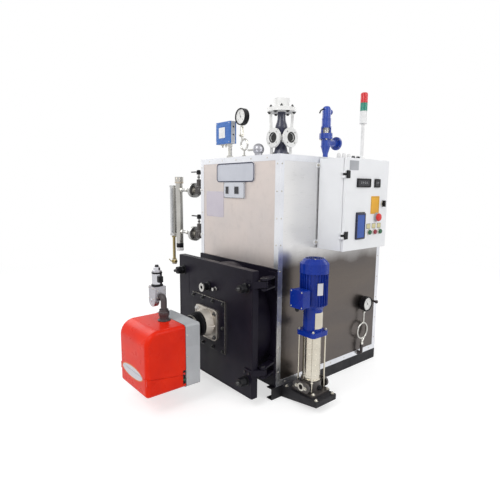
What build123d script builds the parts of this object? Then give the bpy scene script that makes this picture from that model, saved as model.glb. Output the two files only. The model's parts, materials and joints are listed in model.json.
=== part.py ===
from build123d import *
import math
import os

# A packaged steam generator on a skid: a clad cabinet over a horizontal drum,
# a burner on a hinged furnace door, a feed pump, a control cabinet and fittings.
# Millimetres, +Z up, the door faces -Y, the origin is on the floor under the middle
# of the cabinet.

os.makedirs("parts", exist_ok=True)

# Cabinet and skid
CABINET_WIDTH = 875
CABINET_DEPTH = 1130
CABINET_HEIGHT = 1520
SKID_HEIGHT = 80
SKID_WIDTH = 50
SKID_WALL = 6
SKID_NOSE = 35
CROSS_WIDTH = 80
CROSS_SPACING = 370
SADDLE_HEIGHT = 70
SADDLE_WIDTH = 520
PANEL_THICKNESS = 30
TRIM_LEG = 40
TRIM_THICKNESS = 2
COVER_RIM = 40
COVER_THICKNESS = 3
FRONT_PLATE_MARGIN = 8
FRONT_PLATE_THICKNESS = 10
SEAT_GAP = 0.3

SIDE_X = CABINET_WIDTH / 2
FRONT_Y = -CABINET_DEPTH / 2
TOP_Z = SKID_HEIGHT + CABINET_HEIGHT
PANEL_X = SIDE_X - TRIM_THICKNESS
PANEL_FRONT_Y = FRONT_Y + TRIM_THICKNESS
PANEL_TOP_Z = TOP_Z - COVER_THICKNESS
FRONT_PLATE_Y = FRONT_Y - FRONT_PLATE_THICKNESS

# Drum, tube plate and furnace
DRUM_SIDE_GAP = 10.5
DRUM_WALL = 11
DRUM_NOSE = 148
DRUM_TAIL_GAP = 12
FURNACE_SHARE = 0.43
FURNACE_WALL = 10
FURNACE_DROP = 21
FURNACE_X = -42
FURNACE_LENGTH = 1000
TUBE_PLATE_THICKNESS = 20
TUBE_PLATE_RECESS = 58
SMOKE_TUBE_SHARE = 0.083
SMOKE_TUBE_WALL = 4
SMOKE_PITCH_SHARE = 0.27
LOWER_ROW_SHARE = 0.585
UPPER_ROW_SHARE = 0.815
LOWER_ROW_COUNT = 5
UPPER_ROW_COUNT = 3

DRUM_RADIUS = PANEL_X - PANEL_THICKNESS - DRUM_SIDE_GAP
DRUM_INNER_RADIUS = DRUM_RADIUS - DRUM_WALL
DRUM_Z = SKID_HEIGHT + DRUM_RADIUS
FRONT_PLATE_HEIGHT = 2 * DRUM_RADIUS + FRONT_PLATE_MARGIN
FRONT_PLATE_TOP = SKID_HEIGHT + FRONT_PLATE_HEIGHT
DRUM_FRONT_Y = FRONT_Y - DRUM_NOSE
DRUM_REAR_Y = -FRONT_Y - PANEL_THICKNESS - TRIM_THICKNESS - DRUM_TAIL_GAP
TUBE_PLATE_Y = DRUM_FRONT_Y + TUBE_PLATE_RECESS
TUBE_PLATE_BACK_Y = TUBE_PLATE_Y + TUBE_PLATE_THICKNESS
FURNACE_Z = DRUM_Z - FURNACE_DROP
FURNACE_RADIUS = FURNACE_SHARE * DRUM_INNER_RADIUS
SMOKE_TUBE_RADIUS = SMOKE_TUBE_SHARE * DRUM_INNER_RADIUS
SMOKE_TUBE_PITCH = SMOKE_PITCH_SHARE * DRUM_INNER_RADIUS

# Furnace door
DOOR_SIDE_INSET = 7.5
DOOR_LOWER_LAP = 23
DOOR_UPPER_LAP = 16
DOOR_THICKNESS = 50
DOOR_GAP = 5
DOOR_EDGE_RADIUS = 6
PLUG_CLEARANCE = 12
PLUG_THICKNESS = 36
KNOB_INSET_X = 58
KNOB_INSET_Z = 110
KNOB_RADIUS = 28
KNOB_LENGTH = 58
STUD_RADIUS = 9
STUD_LENGTH = 82

DOOR_WIDTH = CABINET_WIDTH - 2 * DOOR_SIDE_INSET
DOOR_HEIGHT = 2 * DRUM_RADIUS + DOOR_LOWER_LAP + DOOR_UPPER_LAP
DOOR_BOTTOM = SKID_HEIGHT - DOOR_LOWER_LAP
DOOR_BACK_Y = DRUM_FRONT_Y - DOOR_GAP
DOOR_FRONT_Y = DOOR_BACK_Y - DOOR_THICKNESS
DOOR_Z = DOOR_BOTTOM + DOOR_HEIGHT / 2
PLUG_RADIUS = DRUM_INNER_RADIUS - PLUG_CLEARANCE

# Furnace door hinges
HINGE_OUTSET = 7.5
HINGE_AHEAD = 115
HINGE_LOWER_RISE = 171
HINGE_UPPER_DROP = 86
HINGE_PIN_RADIUS = 12
HINGE_PIN_HEAD_HEIGHT = 8
HINGE_EYE_RADIUS = 25
HINGE_EAR_THICKNESS = 12
HINGE_LUG_HEIGHT = 40
HINGE_FACE_GAP = 5
HINGE_FOOT_HEIGHT = 120
HINGE_FOOT_THICKNESS = 12
HINGE_FOOT_WIDTH = 70
PIN_CLEARANCE = 0.05

HINGE_X = SIDE_X + HINGE_OUTSET
HINGE_Y = FRONT_PLATE_Y - HINGE_AHEAD
HINGE_HEIGHTS = (DOOR_BOTTOM + HINGE_LOWER_RISE, DOOR_BOTTOM + DOOR_HEIGHT - HINGE_UPPER_DROP)

# Burner and its fixing
BURNER_X = -40
BURNER_PLATE_WIDTH = 393
BURNER_PLATE_HEIGHT = 364
BURNER_PLATE_THICKNESS = 12
FLANGE_WIDTH = 260
FLANGE_HEIGHT = 219
FLANGE_THICKNESS = 14
FLANGE_CORNER = 34
FLANGE_COLLAR_RADIUS = 96
FLANGE_COLLAR_LENGTH = 52
FLANGE_RIB = 10
FLANGE_TAPER = 18
SNOUT_RADIUS = 70
SNOUT_RING_RADIUS = 86
SNOUT_RING_LENGTH = 34
BLAST_TUBE_RADIUS = 66
BLAST_TUBE_WALL = 4
BLAST_TUBE_REACH = 140
BURNER_WIDTH = 375
BURNER_HEIGHT = 409
BURNER_DROP = 326
BODY_LENGTH = 106
HOOD_LENGTH = 271
SNOUT_GAP = 189
HOOD_NOSE_RADIUS = 95
HOOD_TOE_RADIUS = 22
HOOD_SIDE_RADIUS = 26
HOOD_CREASE = 3
HOOD_CREASE_FRONT = 122
HOOD_CREASE_REAR = 83
RECESS_LENGTH = 22
RECESS_BOTTOM = 26
RECESS_HEIGHT = 92
RECESS_DEPTH = 8
BODY_EDGE_RADIUS = 14

FLANGE_BASE_Y = DOOR_FRONT_Y - BURNER_PLATE_THICKNESS
BODY_REAR_Y = FLANGE_BASE_Y - SNOUT_GAP
HOOD_REAR_Y = BODY_REAR_Y - BODY_LENGTH
HOOD_FRONT_Y = HOOD_REAR_Y - HOOD_LENGTH
BURNER_BOTTOM = FURNACE_Z - BURNER_DROP
BURNER_TOP = BURNER_BOTTOM + BURNER_HEIGHT

# Sight glass
SIGHT_X = -45
SIGHT_RISE = 254
SIGHT_RADIUS = 23
SIGHT_BORE = 13
SIGHT_LENGTH = 60
SIGHT_STUB_OFFSET = 95
SIGHT_STUB_RADIUS = 11
SIGHT_STUB_LENGTH = 34

SIGHT_Z = FURNACE_Z + SIGHT_RISE

# Gas valve on the burner
GAS_X = -32
GAS_Y_OFFSET = 50
UNION_RADIUS = 31
UNION_HEIGHT = 74
GAS_PIPE_RADIUS = 20
GAS_RISE = 78
GAS_BEND = 45
GAS_BLOCK_WIDTH = 84
GAS_BLOCK_HEIGHT = 92
GAS_BLOCK_CORNER = 6
GAS_COIL_RADIUS = 31
GAS_COIL_HEIGHT = 100
GAS_CAP_RADIUS = 19
GAS_CAP_HEIGHT = 26
GAS_TIP_RADIUS = 9
GAS_TIP_HEIGHT = 14
GAS_GOVERNOR_RADIUS = 40
GAS_GOVERNOR_LENGTH = 36

GAS_Y = HOOD_REAR_Y - GAS_Y_OFFSET

# Pump and platform
PLATFORM_REACH = 308
PLATFORM_FRONT_Y = -511
PLATFORM_WIDTH = 190
PLATFORM_PLATE = 8
PLATFORM_TIP_HEIGHT = 36
PLATFORM_FLANGE = 8
PUMP_OUTSET = 162.5
PUMP_Y = -403
PUMP_FOOT_LENGTH = 170
PUMP_FOOT_WIDTH = 196
PUMP_FOOT_HEIGHT = 14
PUMP_FOOT_CORNER = 18
PUMP_BASE_HEIGHT = 80
PUMP_BASE_RADIUS = 68
PUMP_PORT_PIPE = 28
PUMP_PORT_FLANGE_WIDTH = 64
PUMP_PORT_BORE = 16
PUMP_PORT_REACH = 96
PUMP_PORT_FLANGE = 14
PUMP_PORT_BOLT_WIDTH = 75
PUMP_PORT_BOLT_RADIUS = 6
PUMP_SLEEVE_RADIUS = 58
PUMP_SLEEVE_HEIGHT = 300
PUMP_ROD_RADIUS = 5
PUMP_ROD_SQUARE = 118
PUMP_HEAD_WIDTH = 152
PUMP_HEAD_HEIGHT = 32
PUMP_HEAD_CORNER = 26
LANTERN_RADIUS = 62
LANTERN_HEIGHT = 142
LANTERN_WINDOW_WIDTH = 62
LANTERN_WINDOW_HEIGHT = 92
GUARD_THICKNESS = 2
MOTOR_RADIUS = 80
MOTOR_HEIGHT = 205
MOTOR_FIN_HEIGHT = 10
MOTOR_FIN_THICKNESS = 3
MOTOR_FIN_COUNT = 28
MOTOR_BELL_HEIGHT = 26
FAN_COVER_RADIUS = 92
FAN_COVER_HEIGHT = 92
FAN_COVER_CHAMFER = 30
TERMINAL_WIDTH = 104
TERMINAL_DEPTH = 62
TERMINAL_HEIGHT = 112
TERMINAL_CORNER = 8
TERMINAL_LID_CHAMFER = 3

PUMP_X = SIDE_X + PUMP_OUTSET
PUMP_PORT_Z = SKID_HEIGHT + (PUMP_BASE_HEIGHT + PUMP_FOOT_HEIGHT) / 2
PUMP_BASE_TOP = SKID_HEIGHT + PUMP_BASE_HEIGHT
PUMP_SLEEVE_TOP = PUMP_BASE_TOP + PUMP_SLEEVE_HEIGHT
PUMP_HEAD_TOP = PUMP_SLEEVE_TOP + PUMP_HEAD_HEIGHT
LANTERN_TOP = PUMP_HEAD_TOP + LANTERN_HEIGHT
MOTOR_TOP = LANTERN_TOP + MOTOR_BELL_HEIGHT + MOTOR_HEIGHT

# Control cabinet
CONTROL_STANDOFF = 6
CONTROL_DEPTH = 197
CONTROL_WIDTH = 480
CONTROL_HEIGHT = 600
CONTROL_NEAR_Y = -202
CONTROL_BOTTOM = 985
CONTROL_SHEET = 2
CONTROL_LIP = 22
CONTROL_DOOR_THICKNESS = 17
CONTROL_DOOR_GAP = 5
CONTROL_BRACKET_WIDTH = 30
CONTROL_BRACKET_INSET = 42
MOUNTING_PLATE_GAP = 12
MOUNTING_PLATE_THICKNESS = 3
MOUNTING_PLATE_MARGIN = 25
HINGE_BARREL_RADIUS = 8
HINGE_BARREL_PIN = 3
HINGE_BARREL_OUT = 12
HINGE_BARREL_HEIGHT = 14
HINGE_BARREL_GAP = 1
HINGE_LEAF_WIDTH = 24
HINGE_LEAF_THICKNESS = 4
HINGE_ARM_LENGTH = 30
HINGE_COVER_INSET = 4
HINGE_COVER_WIDTH = 36
HINGE_COVER_HEIGHT = 48
CONTROL_HINGE_INSET = 105
CONTROL_HINGE_DEPTH = 6

CONTROL_BACK_X = SIDE_X + CONTROL_STANDOFF
CONTROL_RIM_X = CONTROL_BACK_X + CONTROL_DEPTH
CONTROL_DOOR_BACK_X = CONTROL_RIM_X + CONTROL_DOOR_GAP
CONTROL_DOOR_X = CONTROL_DOOR_BACK_X + CONTROL_DOOR_THICKNESS
CONTROL_TOP = CONTROL_BOTTOM + CONTROL_HEIGHT
CONTROL_MID_Y = CONTROL_NEAR_Y + CONTROL_WIDTH / 2
CONTROL_MID_Z = CONTROL_BOTTOM + CONTROL_HEIGHT / 2
CONTROL_HINGE_X = CONTROL_DOOR_X - CONTROL_HINGE_DEPTH
CONTROL_HINGE_Y = CONTROL_NEAR_Y - HINGE_BARREL_OUT

# Pieces on the control door, by distance from its near edge and height over its bottom
METER_WIDTH = 148
METER_HEIGHT = 57
DISPLAY_DEPTH = 7
METER_FROM_EDGE = 188
METER_RISE = 443
TIMER_WIDTH = 62
TIMER_FROM_EDGE = 341
SCREEN_WIDTH = 92
SCREEN_HEIGHT = 166
SCREEN_FROM_EDGE = 166
SCREEN_RISE = 168
STOP_RADIUS = 20
STOP_NECK_RADIUS = 15
STOP_FROM_EDGE = 352
STOP_RISE = 212
BUTTON_RADIUS = 12
BUTTON_LENGTH = 16
BUTTON_PITCH = 62
BUTTON_FROM_EDGE = 272
BUTTON_RISE = 112
BUTTON_COUNT = 3
LOCK_RADIUS = 14
LOCK_FROM_EDGE = 418
LOCK_RISE = 304
LOCK_GRIP_LENGTH = 44
LOCK_GRIP_WIDTH = 12
LOCK_DEPTH = 26

# Cable glands and light tower on the control cabinet
GLAND_OUTSET = 116.5
GLAND_RADIUS = 12
GLAND_HEIGHT = 26
GLAND_PITCH = 52
GLAND_FROM_EDGE = 48
GLAND_COUNT = 5
LIGHT_OUTSET = 94.5
LIGHT_Y = 126
LIGHT_POLE_RADIUS = 11
LIGHT_POLE_HEIGHT = 248
LIGHT_FOOT_RADIUS = 25
LIGHT_FOOT_HEIGHT = 12
LIGHT_RADIUS = 25
LIGHT_BASE_HEIGHT = 82
LIGHT_LENS_HEIGHT = 56
LIGHT_CAP_HEIGHT = 12

GLAND_X = CONTROL_BACK_X + GLAND_OUTSET
LIGHT_X = CONTROL_BACK_X + LIGHT_OUTSET
LIGHT_BASE_Z = CONTROL_TOP + LIGHT_POLE_HEIGHT
LIGHT_GREEN_Z = LIGHT_BASE_Z + LIGHT_BASE_HEIGHT
LIGHT_RED_Z = LIGHT_GREEN_Z + LIGHT_LENS_HEIGHT

# Front plates
SIGN_WIDTH = 418
SIGN_HEIGHT = 130
SIGN_X = -11
SIGN_Z = 1494
SIGN_CORNER = 26
SIGN_BORDER = 7
SIGN_THICKNESS = 3
DISPLAY_WIDTH = 232
DISPLAY_HEIGHT = 112
DISPLAY_X = -15
DISPLAY_THICKNESS = 10

# Level gauge on the left side
LEVEL_Y = -540
LEVEL_UPPER_Z = 1366
LEVEL_LOWER_Z = 1017
LEVEL_CHAMBER_OUTSET = 369.5
LEVEL_CHAMBER_RADIUS = 29
LEVEL_CHAMBER_BOTTOM = 850
LEVEL_CHAMBER_TOP = 1423
LEVEL_CAP_RADIUS = 36
LEVEL_CAP_HEIGHT = 52
LEVEL_RAIL_WIDTH = 66
LEVEL_RAIL_DEPTH = 34
LEVEL_RAIL_CORNER = 6
LEVEL_RAIL_BOTTOM = 970
LEVEL_RAIL_TOP = 1405
LEVEL_RAIL_GAP = 38
LEVEL_ARM_RADIUS = 12
LEVEL_FLANGE_RADIUS = 58
LEVEL_FLANGE_THICKNESS = 16
LEVEL_BOSS_RADIUS = 22
LEVEL_FLANGE_OUTSET = 148.5
LEVEL_COCK_OUTSET = 68.5
LEVEL_COCK_RADIUS = 30
LEVEL_STEM_RADIUS = 8
LEVEL_STEM_TOP = 140
LEVEL_GLAND_RADIUS = 16
LEVEL_GLAND_HEIGHT = 84
LEVER_LENGTH = 92
LEVER_WIDTH = 20
LEVER_THICKNESS = 8
LEVER_HUB_RADIUS = 17
LEVER_HUB_HEIGHT = 24
DRAIN_TUBE_RADIUS = 12
DRAIN_BOTTOM = 719
DRAIN_VALVE_SIZE = 44
DRAIN_BAND_RADIUS = 29

LEVEL_CHAMBER_X = -SIDE_X - LEVEL_CHAMBER_OUTSET
LEVEL_FLANGE_X = -SIDE_X - LEVEL_FLANGE_OUTSET
LEVEL_COCK_X = -SIDE_X - LEVEL_COCK_OUTSET
LEVEL_RAIL_X = LEVEL_CHAMBER_X - LEVEL_CHAMBER_RADIUS - LEVEL_RAIL_GAP - LEVEL_RAIL_WIDTH / 2

# Pressure switch, steam gauge and probe on the front of the top
SWITCH_BOX_X = -238
SWITCH_BOX_Y = -472
SWITCH_BOX_WIDTH = 177
SWITCH_BOX_DEPTH = 58
SWITCH_BOX_BOTTOM = 108
SWITCH_BOX_HEIGHT = 157
SWITCH_BOX_CORNER = 5
SWITCH_BOX_COVER = 22
SWITCH_BOX_BACK = 14
SWITCH_BOX_STEP = 3
SWITCH_PIPE_X = -190
SWITCH_PIPE_RADIUS = 16
SWITCH_PIPE_NUT_RADIUS = 24
GAUGE_X = -62
GAUGE_Y = -462
GAUGE_CENTRE = 286
GAUGE_RADIUS = 58
GAUGE_DEPTH = 38
GAUGE_BEZEL = 6
GAUGE_FACE_DEPTH = 5
SIPHON_TUBE_RADIUS = 7
SIPHON_STEM_RADIUS = 6
SIPHON_NUT_RADIUS = 14
SIPHON_STEM_OFFSET = 26
SIPHON_LOOP_RADIUS = 37
SIPHON_LOOP_CENTRE = 92
PROBE_X = 104
PROBE_Y = -450
PROBE_RADIUS = 39
PROBE_BASE_RADIUS = 26
PROBE_CENTRE = 52

# Steam valve
VALVE_X = 160
VALVE_Y = -290
VALVE_FOOT_RADIUS = 82
VALVE_FOOT_THICKNESS = 18
VALVE_CENTRE = 132
VALVE_WAIST_RADIUS = 30
VALVE_CORE_RADIUS = 52
VALVE_NECK_TOP = 262
VALVE_FRONT_REACH = 80
VALVE_PORT_REACH = 98
VALVE_PORT_RADIUS = 66
VALVE_PORT_BORE = 25
VALVE_PORT_PIPE = 28
VALVE_PORT_FLANGE = 16
VALVE_PORT_BOLT_CIRCLE = 100
VALVE_PORT_BOLT_RADIUS = 6
VALVE_PORT_BOLTS = 4
BONNET_LEG_FOOT = 55
BONNET_LEG_TOP = 66
BONNET_LEG_WIDTH = 20
BONNET_LEG_THICKNESS = 12
LEG_DIRECTION = (1, 1, 0)
LEG_NORMAL = (1, -1, 0)
BONNET_PLATE_Z = 308
BONNET_PLATE_RADIUS = 100
BONNET_PLATE_THICKNESS = 26
BONNET_CAP_RADIUS = 56
BONNET_CAP_HEIGHT = 62

# Safety valve
SAFETY_X = 233
SAFETY_Y = 100
SAFETY_INLET_RADIUS = 19
SAFETY_INLET_TOP = 44
SAFETY_BODY_RADIUS = 34
SAFETY_BODY_BOTTOM = 96
SAFETY_FLANGE_Z = 152
SAFETY_FLANGE_RADIUS = 49
SAFETY_FLANGE_THICKNESS = 20
SAFETY_OUTLET_Z = 128
SAFETY_OUTLET_REACH = 130
SAFETY_OUTLET_RADIUS = 49
SAFETY_OUTLET_BORE = 20
SAFETY_OUTLET_PIPE = 27
SAFETY_OUTLET_FLANGE = 16
SAFETY_BOLT_CIRCLE = 76
SAFETY_BOLT_RADIUS = 6
SAFETY_BOLTS = 4
SAFETY_NECK_RADIUS = 18
SAFETY_NECK_TOP = 232
YOKE_RADIUS = 38
YOKE_BASE = 10
YOKE_TOP = 292
YOKE_SPREAD = 25
YOKE_LEG = 12
YOKE_DEPTH = 26
SPINDLE_RADIUS = 8
CAP_RADIUS = 31
CAP_TOP = 388
CAP_DOME = 24
CAP_KNOB_RADIUS = 19
CAP_KNOB_REACH = 47
CAP_KNOB_Z = 350

# Feed gauge on the right side
FEED_OUTSET = 32.5
FEED_Y = 335
FEED_PIPE_RADIUS = 11
FEED_BEND_RADIUS = 18
FEED_INLET_Z = 100
FEED_RISER_TOP = 176
FEED_SIPHON_CENTRE = 288
FEED_SIPHON_RADIUS = 62
FEED_STEM_OFFSET = 22
FEED_GAUGE_Y = 368
FEED_GAUGE_Z = 500
FEED_GAUGE_RADIUS = 57
FEED_STUB_Y = 513
FEED_STUB_Z = 489
FEED_STUB_LENGTH = 42
FEED_STUB_RADIUS = 9

FEED_X = SIDE_X + FEED_OUTSET


# Skids, one U-channel under each side, webs outwards
with BuildPart() as base_skids:
    with BuildSketch(Plane.XZ.offset(-CABINET_DEPTH / 2)) as skid_section:
        for side in (-1, 1):
            with Locations((side * (SIDE_X - SKID_WIDTH / 2), SKID_HEIGHT / 2)):
                Rectangle(SKID_WIDTH, SKID_HEIGHT)
            with Locations((side * (SIDE_X - SKID_WIDTH / 2 - SKID_WALL), SKID_HEIGHT / 2)):
                Rectangle(SKID_WIDTH, SKID_HEIGHT - 2 * SKID_WALL, mode=Mode.SUBTRACT)
    extrude(amount=CABINET_DEPTH + SKID_NOSE)
base_skids.part.label = "base_skids"
export_step(base_skids.part, "parts/base_skids.step")

# Cross members with saddles cut to the drum
with BuildPart() as base_cross_members:
    for y in (-CROSS_SPACING, 0, CROSS_SPACING):
        with BuildSketch(Plane.XZ.offset(-y)):
            with Locations((0, SKID_HEIGHT / 2)):
                Rectangle(CABINET_WIDTH - 2 * SKID_WIDTH, SKID_HEIGHT)
            with Locations((0, SKID_HEIGHT + SADDLE_HEIGHT / 2)):
                Rectangle(SADDLE_WIDTH, SADDLE_HEIGHT)
            with Locations((0, DRUM_Z)):
                Circle(DRUM_RADIUS + SEAT_GAP, mode=Mode.SUBTRACT)
        extrude(amount=CROSS_WIDTH / 2, both=True)
base_cross_members.part.label = "base_cross_members"
export_step(base_cross_members.part, "parts/base_cross_members.step")

# Pump platform: a plate on two tapered side plates, closed at the skid and at the tip
with BuildPart() as pump_platform:
    with BuildSketch(Plane.XZ.offset(-PLATFORM_FRONT_Y)):
        with BuildLine():
            Polyline(
                (SIDE_X, 0),
                (SIDE_X, SKID_HEIGHT),
                (SIDE_X + PLATFORM_REACH, SKID_HEIGHT),
                (SIDE_X + PLATFORM_REACH, SKID_HEIGHT - PLATFORM_TIP_HEIGHT),
                close=True,
            )
        make_face()
    extrude(amount=-PLATFORM_WIDTH)
    with BuildSketch(Plane.XY):
        with Locations((SIDE_X + PLATFORM_REACH / 2, PLATFORM_FRONT_Y + PLATFORM_WIDTH / 2)):
            Rectangle(PLATFORM_REACH - 2 * PLATFORM_FLANGE, PLATFORM_WIDTH - 2 * PLATFORM_FLANGE)
    extrude(amount=SKID_HEIGHT - PLATFORM_PLATE, mode=Mode.SUBTRACT)
pump_platform.part.label = "pump_platform"
export_step(pump_platform.part, "parts/pump_platform.step")

# Drum shell, open at the front and closed by its rear head
with BuildPart() as drum_shell:
    with BuildSketch(Plane.XZ.offset(-DRUM_FRONT_Y)):
        with Locations((0, DRUM_Z)):
            Circle(DRUM_RADIUS)
    extrude(amount=-(DRUM_REAR_Y - DRUM_FRONT_Y))
    with BuildSketch(Plane.XZ.offset(-DRUM_FRONT_Y)):
        with Locations((0, DRUM_Z)):
            Circle(DRUM_INNER_RADIUS)
    extrude(amount=-(DRUM_REAR_Y - DRUM_FRONT_Y - DRUM_WALL), mode=Mode.SUBTRACT)
drum_shell.part.label = "drum_shell"
export_step(drum_shell.part, "parts/drum_shell.step")

# Where the smoke tubes pass the tube plate, two rows over the furnace
smoke_tube_spots = [
    (SMOKE_TUBE_PITCH * (column - (count - 1) / 2), DRUM_Z + share * DRUM_INNER_RADIUS)
    for share, count in ((LOWER_ROW_SHARE, LOWER_ROW_COUNT), (UPPER_ROW_SHARE, UPPER_ROW_COUNT))
    for column in range(count)
]

# Tube plate across the drum
with BuildPart() as tube_plate:
    with BuildSketch(Plane.XZ.offset(-TUBE_PLATE_Y)):
        with Locations((0, DRUM_Z)):
            Circle(DRUM_INNER_RADIUS)
        with Locations((FURNACE_X, FURNACE_Z)):
            Circle(FURNACE_RADIUS, mode=Mode.SUBTRACT)
        with Locations(*smoke_tube_spots):
            Circle(SMOKE_TUBE_RADIUS - SMOKE_TUBE_WALL, mode=Mode.SUBTRACT)
    extrude(amount=-TUBE_PLATE_THICKNESS)
tube_plate.part.label = "tube_plate"
export_step(tube_plate.part, "parts/tube_plate.step")

# Furnace tube, closed at its far end
with BuildPart() as furnace_tube:
    with BuildSketch(Plane.XZ.offset(-TUBE_PLATE_BACK_Y)):
        with Locations((FURNACE_X, FURNACE_Z)):
            Circle(FURNACE_RADIUS + FURNACE_WALL)
    extrude(amount=-FURNACE_LENGTH)
    with BuildSketch(Plane.XZ.offset(-TUBE_PLATE_BACK_Y)):
        with Locations((FURNACE_X, FURNACE_Z)):
            Circle(FURNACE_RADIUS)
    extrude(amount=-(FURNACE_LENGTH - FURNACE_WALL), mode=Mode.SUBTRACT)
furnace_tube.part.label = "furnace_tube"
export_step(furnace_tube.part, "parts/furnace_tube.step")

# Smoke tubes behind the tube plate
with BuildPart() as smoke_tubes:
    with BuildSketch(Plane.XZ.offset(-TUBE_PLATE_BACK_Y)):
        with Locations(*smoke_tube_spots):
            Circle(SMOKE_TUBE_RADIUS)
            Circle(SMOKE_TUBE_RADIUS - SMOKE_TUBE_WALL, mode=Mode.SUBTRACT)
    extrude(amount=-FURNACE_LENGTH)
smoke_tubes.part.label = "smoke_tubes"
export_step(smoke_tubes.part, "parts/smoke_tubes.step")

# Black front plate around the drum
with BuildPart() as front_plate:
    with BuildSketch(Plane.XZ.offset(-FRONT_PLATE_Y)):
        with Locations((0, SKID_HEIGHT + FRONT_PLATE_HEIGHT / 2)):
            Rectangle(CABINET_WIDTH, FRONT_PLATE_HEIGHT)
        with Locations((0, DRUM_Z)):
            Circle(DRUM_RADIUS + SEAT_GAP, mode=Mode.SUBTRACT)
    extrude(amount=-FRONT_PLATE_THICKNESS)
front_plate.part.label = "front_plate"
export_step(front_plate.part, "parts/front_plate.step")

# Upper front panel, from the front plate to the cover
with BuildPart() as front_panel:
    with BuildSketch(Plane.XZ.offset(-PANEL_FRONT_Y)):
        with Locations((0, (FRONT_PLATE_TOP + PANEL_TOP_Z) / 2)):
            Rectangle(2 * PANEL_X, PANEL_TOP_Z - FRONT_PLATE_TOP)
    extrude(amount=-PANEL_THICKNESS)
front_panel.part.label = "front_panel"
export_step(front_panel.part, "parts/front_panel.step")

# Side panels between the front and rear panels
with BuildPart() as side_panels:
    for side in (-1, 1):
        with BuildSketch(Plane.YZ.offset(side * PANEL_X)):
            with Locations((0, (SKID_HEIGHT + PANEL_TOP_Z) / 2)):
                Rectangle(2 * (-PANEL_FRONT_Y - PANEL_THICKNESS), PANEL_TOP_Z - SKID_HEIGHT)
        extrude(amount=-side * PANEL_THICKNESS)
side_panels.part.label = "side_panels"
export_step(side_panels.part, "parts/side_panels.step")

# Rear panel
with BuildPart() as rear_panel:
    with BuildSketch(Plane.XZ.offset(PANEL_FRONT_Y)):
        with Locations((0, (SKID_HEIGHT + PANEL_TOP_Z) / 2)):
            Rectangle(2 * PANEL_X, PANEL_TOP_Z - SKID_HEIGHT)
    extrude(amount=PANEL_THICKNESS)
rear_panel.part.label = "rear_panel"
export_step(rear_panel.part, "parts/rear_panel.step")

# Top cover, a shallow lid whose rim laps over the panels
with BuildPart() as top_cover:
    with BuildSketch(Plane.XY.offset(TOP_Z)):
        Rectangle(CABINET_WIDTH, CABINET_DEPTH)
    extrude(amount=-COVER_RIM)
    with BuildSketch(Plane.XY.offset(TOP_Z - COVER_RIM)):
        Rectangle(2 * PANEL_X, -2 * PANEL_FRONT_Y)
    extrude(amount=COVER_RIM - COVER_THICKNESS, mode=Mode.SUBTRACT)
top_cover.part.label = "top_cover"
export_step(top_cover.part, "parts/top_cover.step")

# Aluminium angles on the four upright corners, and strips along the foot of three sides
with BuildPart() as cabinet_trims:
    with BuildSketch(Plane.XY.offset(SKID_HEIGHT)) as trim_ring:
        Rectangle(CABINET_WIDTH, CABINET_DEPTH)
        Rectangle(2 * PANEL_X, -2 * PANEL_FRONT_Y, mode=Mode.SUBTRACT)
        Rectangle(CABINET_WIDTH - 2 * TRIM_LEG, CABINET_DEPTH, mode=Mode.SUBTRACT)
        Rectangle(CABINET_WIDTH, CABINET_DEPTH - 2 * TRIM_LEG, mode=Mode.SUBTRACT)
    extrude(amount=CABINET_HEIGHT - COVER_RIM)
    with BuildSketch(Plane.XY.offset(SKID_HEIGHT)):
        for side in (-1, 1):
            with Locations((side * (SIDE_X - TRIM_THICKNESS / 2), 0)):
                Rectangle(TRIM_THICKNESS, CABINET_DEPTH - 2 * TRIM_LEG)
        with Locations((0, CABINET_DEPTH / 2 - TRIM_THICKNESS / 2)):
            Rectangle(CABINET_WIDTH - 2 * TRIM_LEG, TRIM_THICKNESS)
    extrude(amount=TRIM_LEG)
cabinet_trims.part.label = "cabinet_trims"
export_step(cabinet_trims.part, "parts/cabinet_trims.step")

# Blank sign plate with a raised border, and the small display panel under it
with BuildPart() as sign_plate:
    with BuildSketch(Plane.XZ.offset(-PANEL_FRONT_Y)):
        with Locations((DISPLAY_X, SIGN_Z - SIGN_HEIGHT / 2 - DISPLAY_HEIGHT / 2)):
            Rectangle(DISPLAY_WIDTH, DISPLAY_HEIGHT)
    extrude(amount=DISPLAY_THICKNESS)
    chamfer(sign_plate.faces().sort_by(Axis.Y)[0].edges(), SIGN_THICKNESS)
    with BuildSketch(Plane.XZ.offset(-PANEL_FRONT_Y)):
        with Locations((SIGN_X, SIGN_Z)):
            RectangleRounded(SIGN_WIDTH, SIGN_HEIGHT, SIGN_CORNER)
    extrude(amount=SIGN_THICKNESS)
    with BuildSketch(Plane.XZ.offset(-PANEL_FRONT_Y + SIGN_THICKNESS)):
        with Locations((SIGN_X, SIGN_Z)):
            RectangleRounded(SIGN_WIDTH, SIGN_HEIGHT, SIGN_CORNER)
            RectangleRounded(
                SIGN_WIDTH - 2 * SIGN_BORDER,
                SIGN_HEIGHT - 2 * SIGN_BORDER,
                SIGN_CORNER - SIGN_BORDER,
                mode=Mode.SUBTRACT,
            )
    extrude(amount=SIGN_THICKNESS)
sign_plate.part.label = "sign_plate"
export_step(sign_plate.part, "parts/sign_plate.step")

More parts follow.
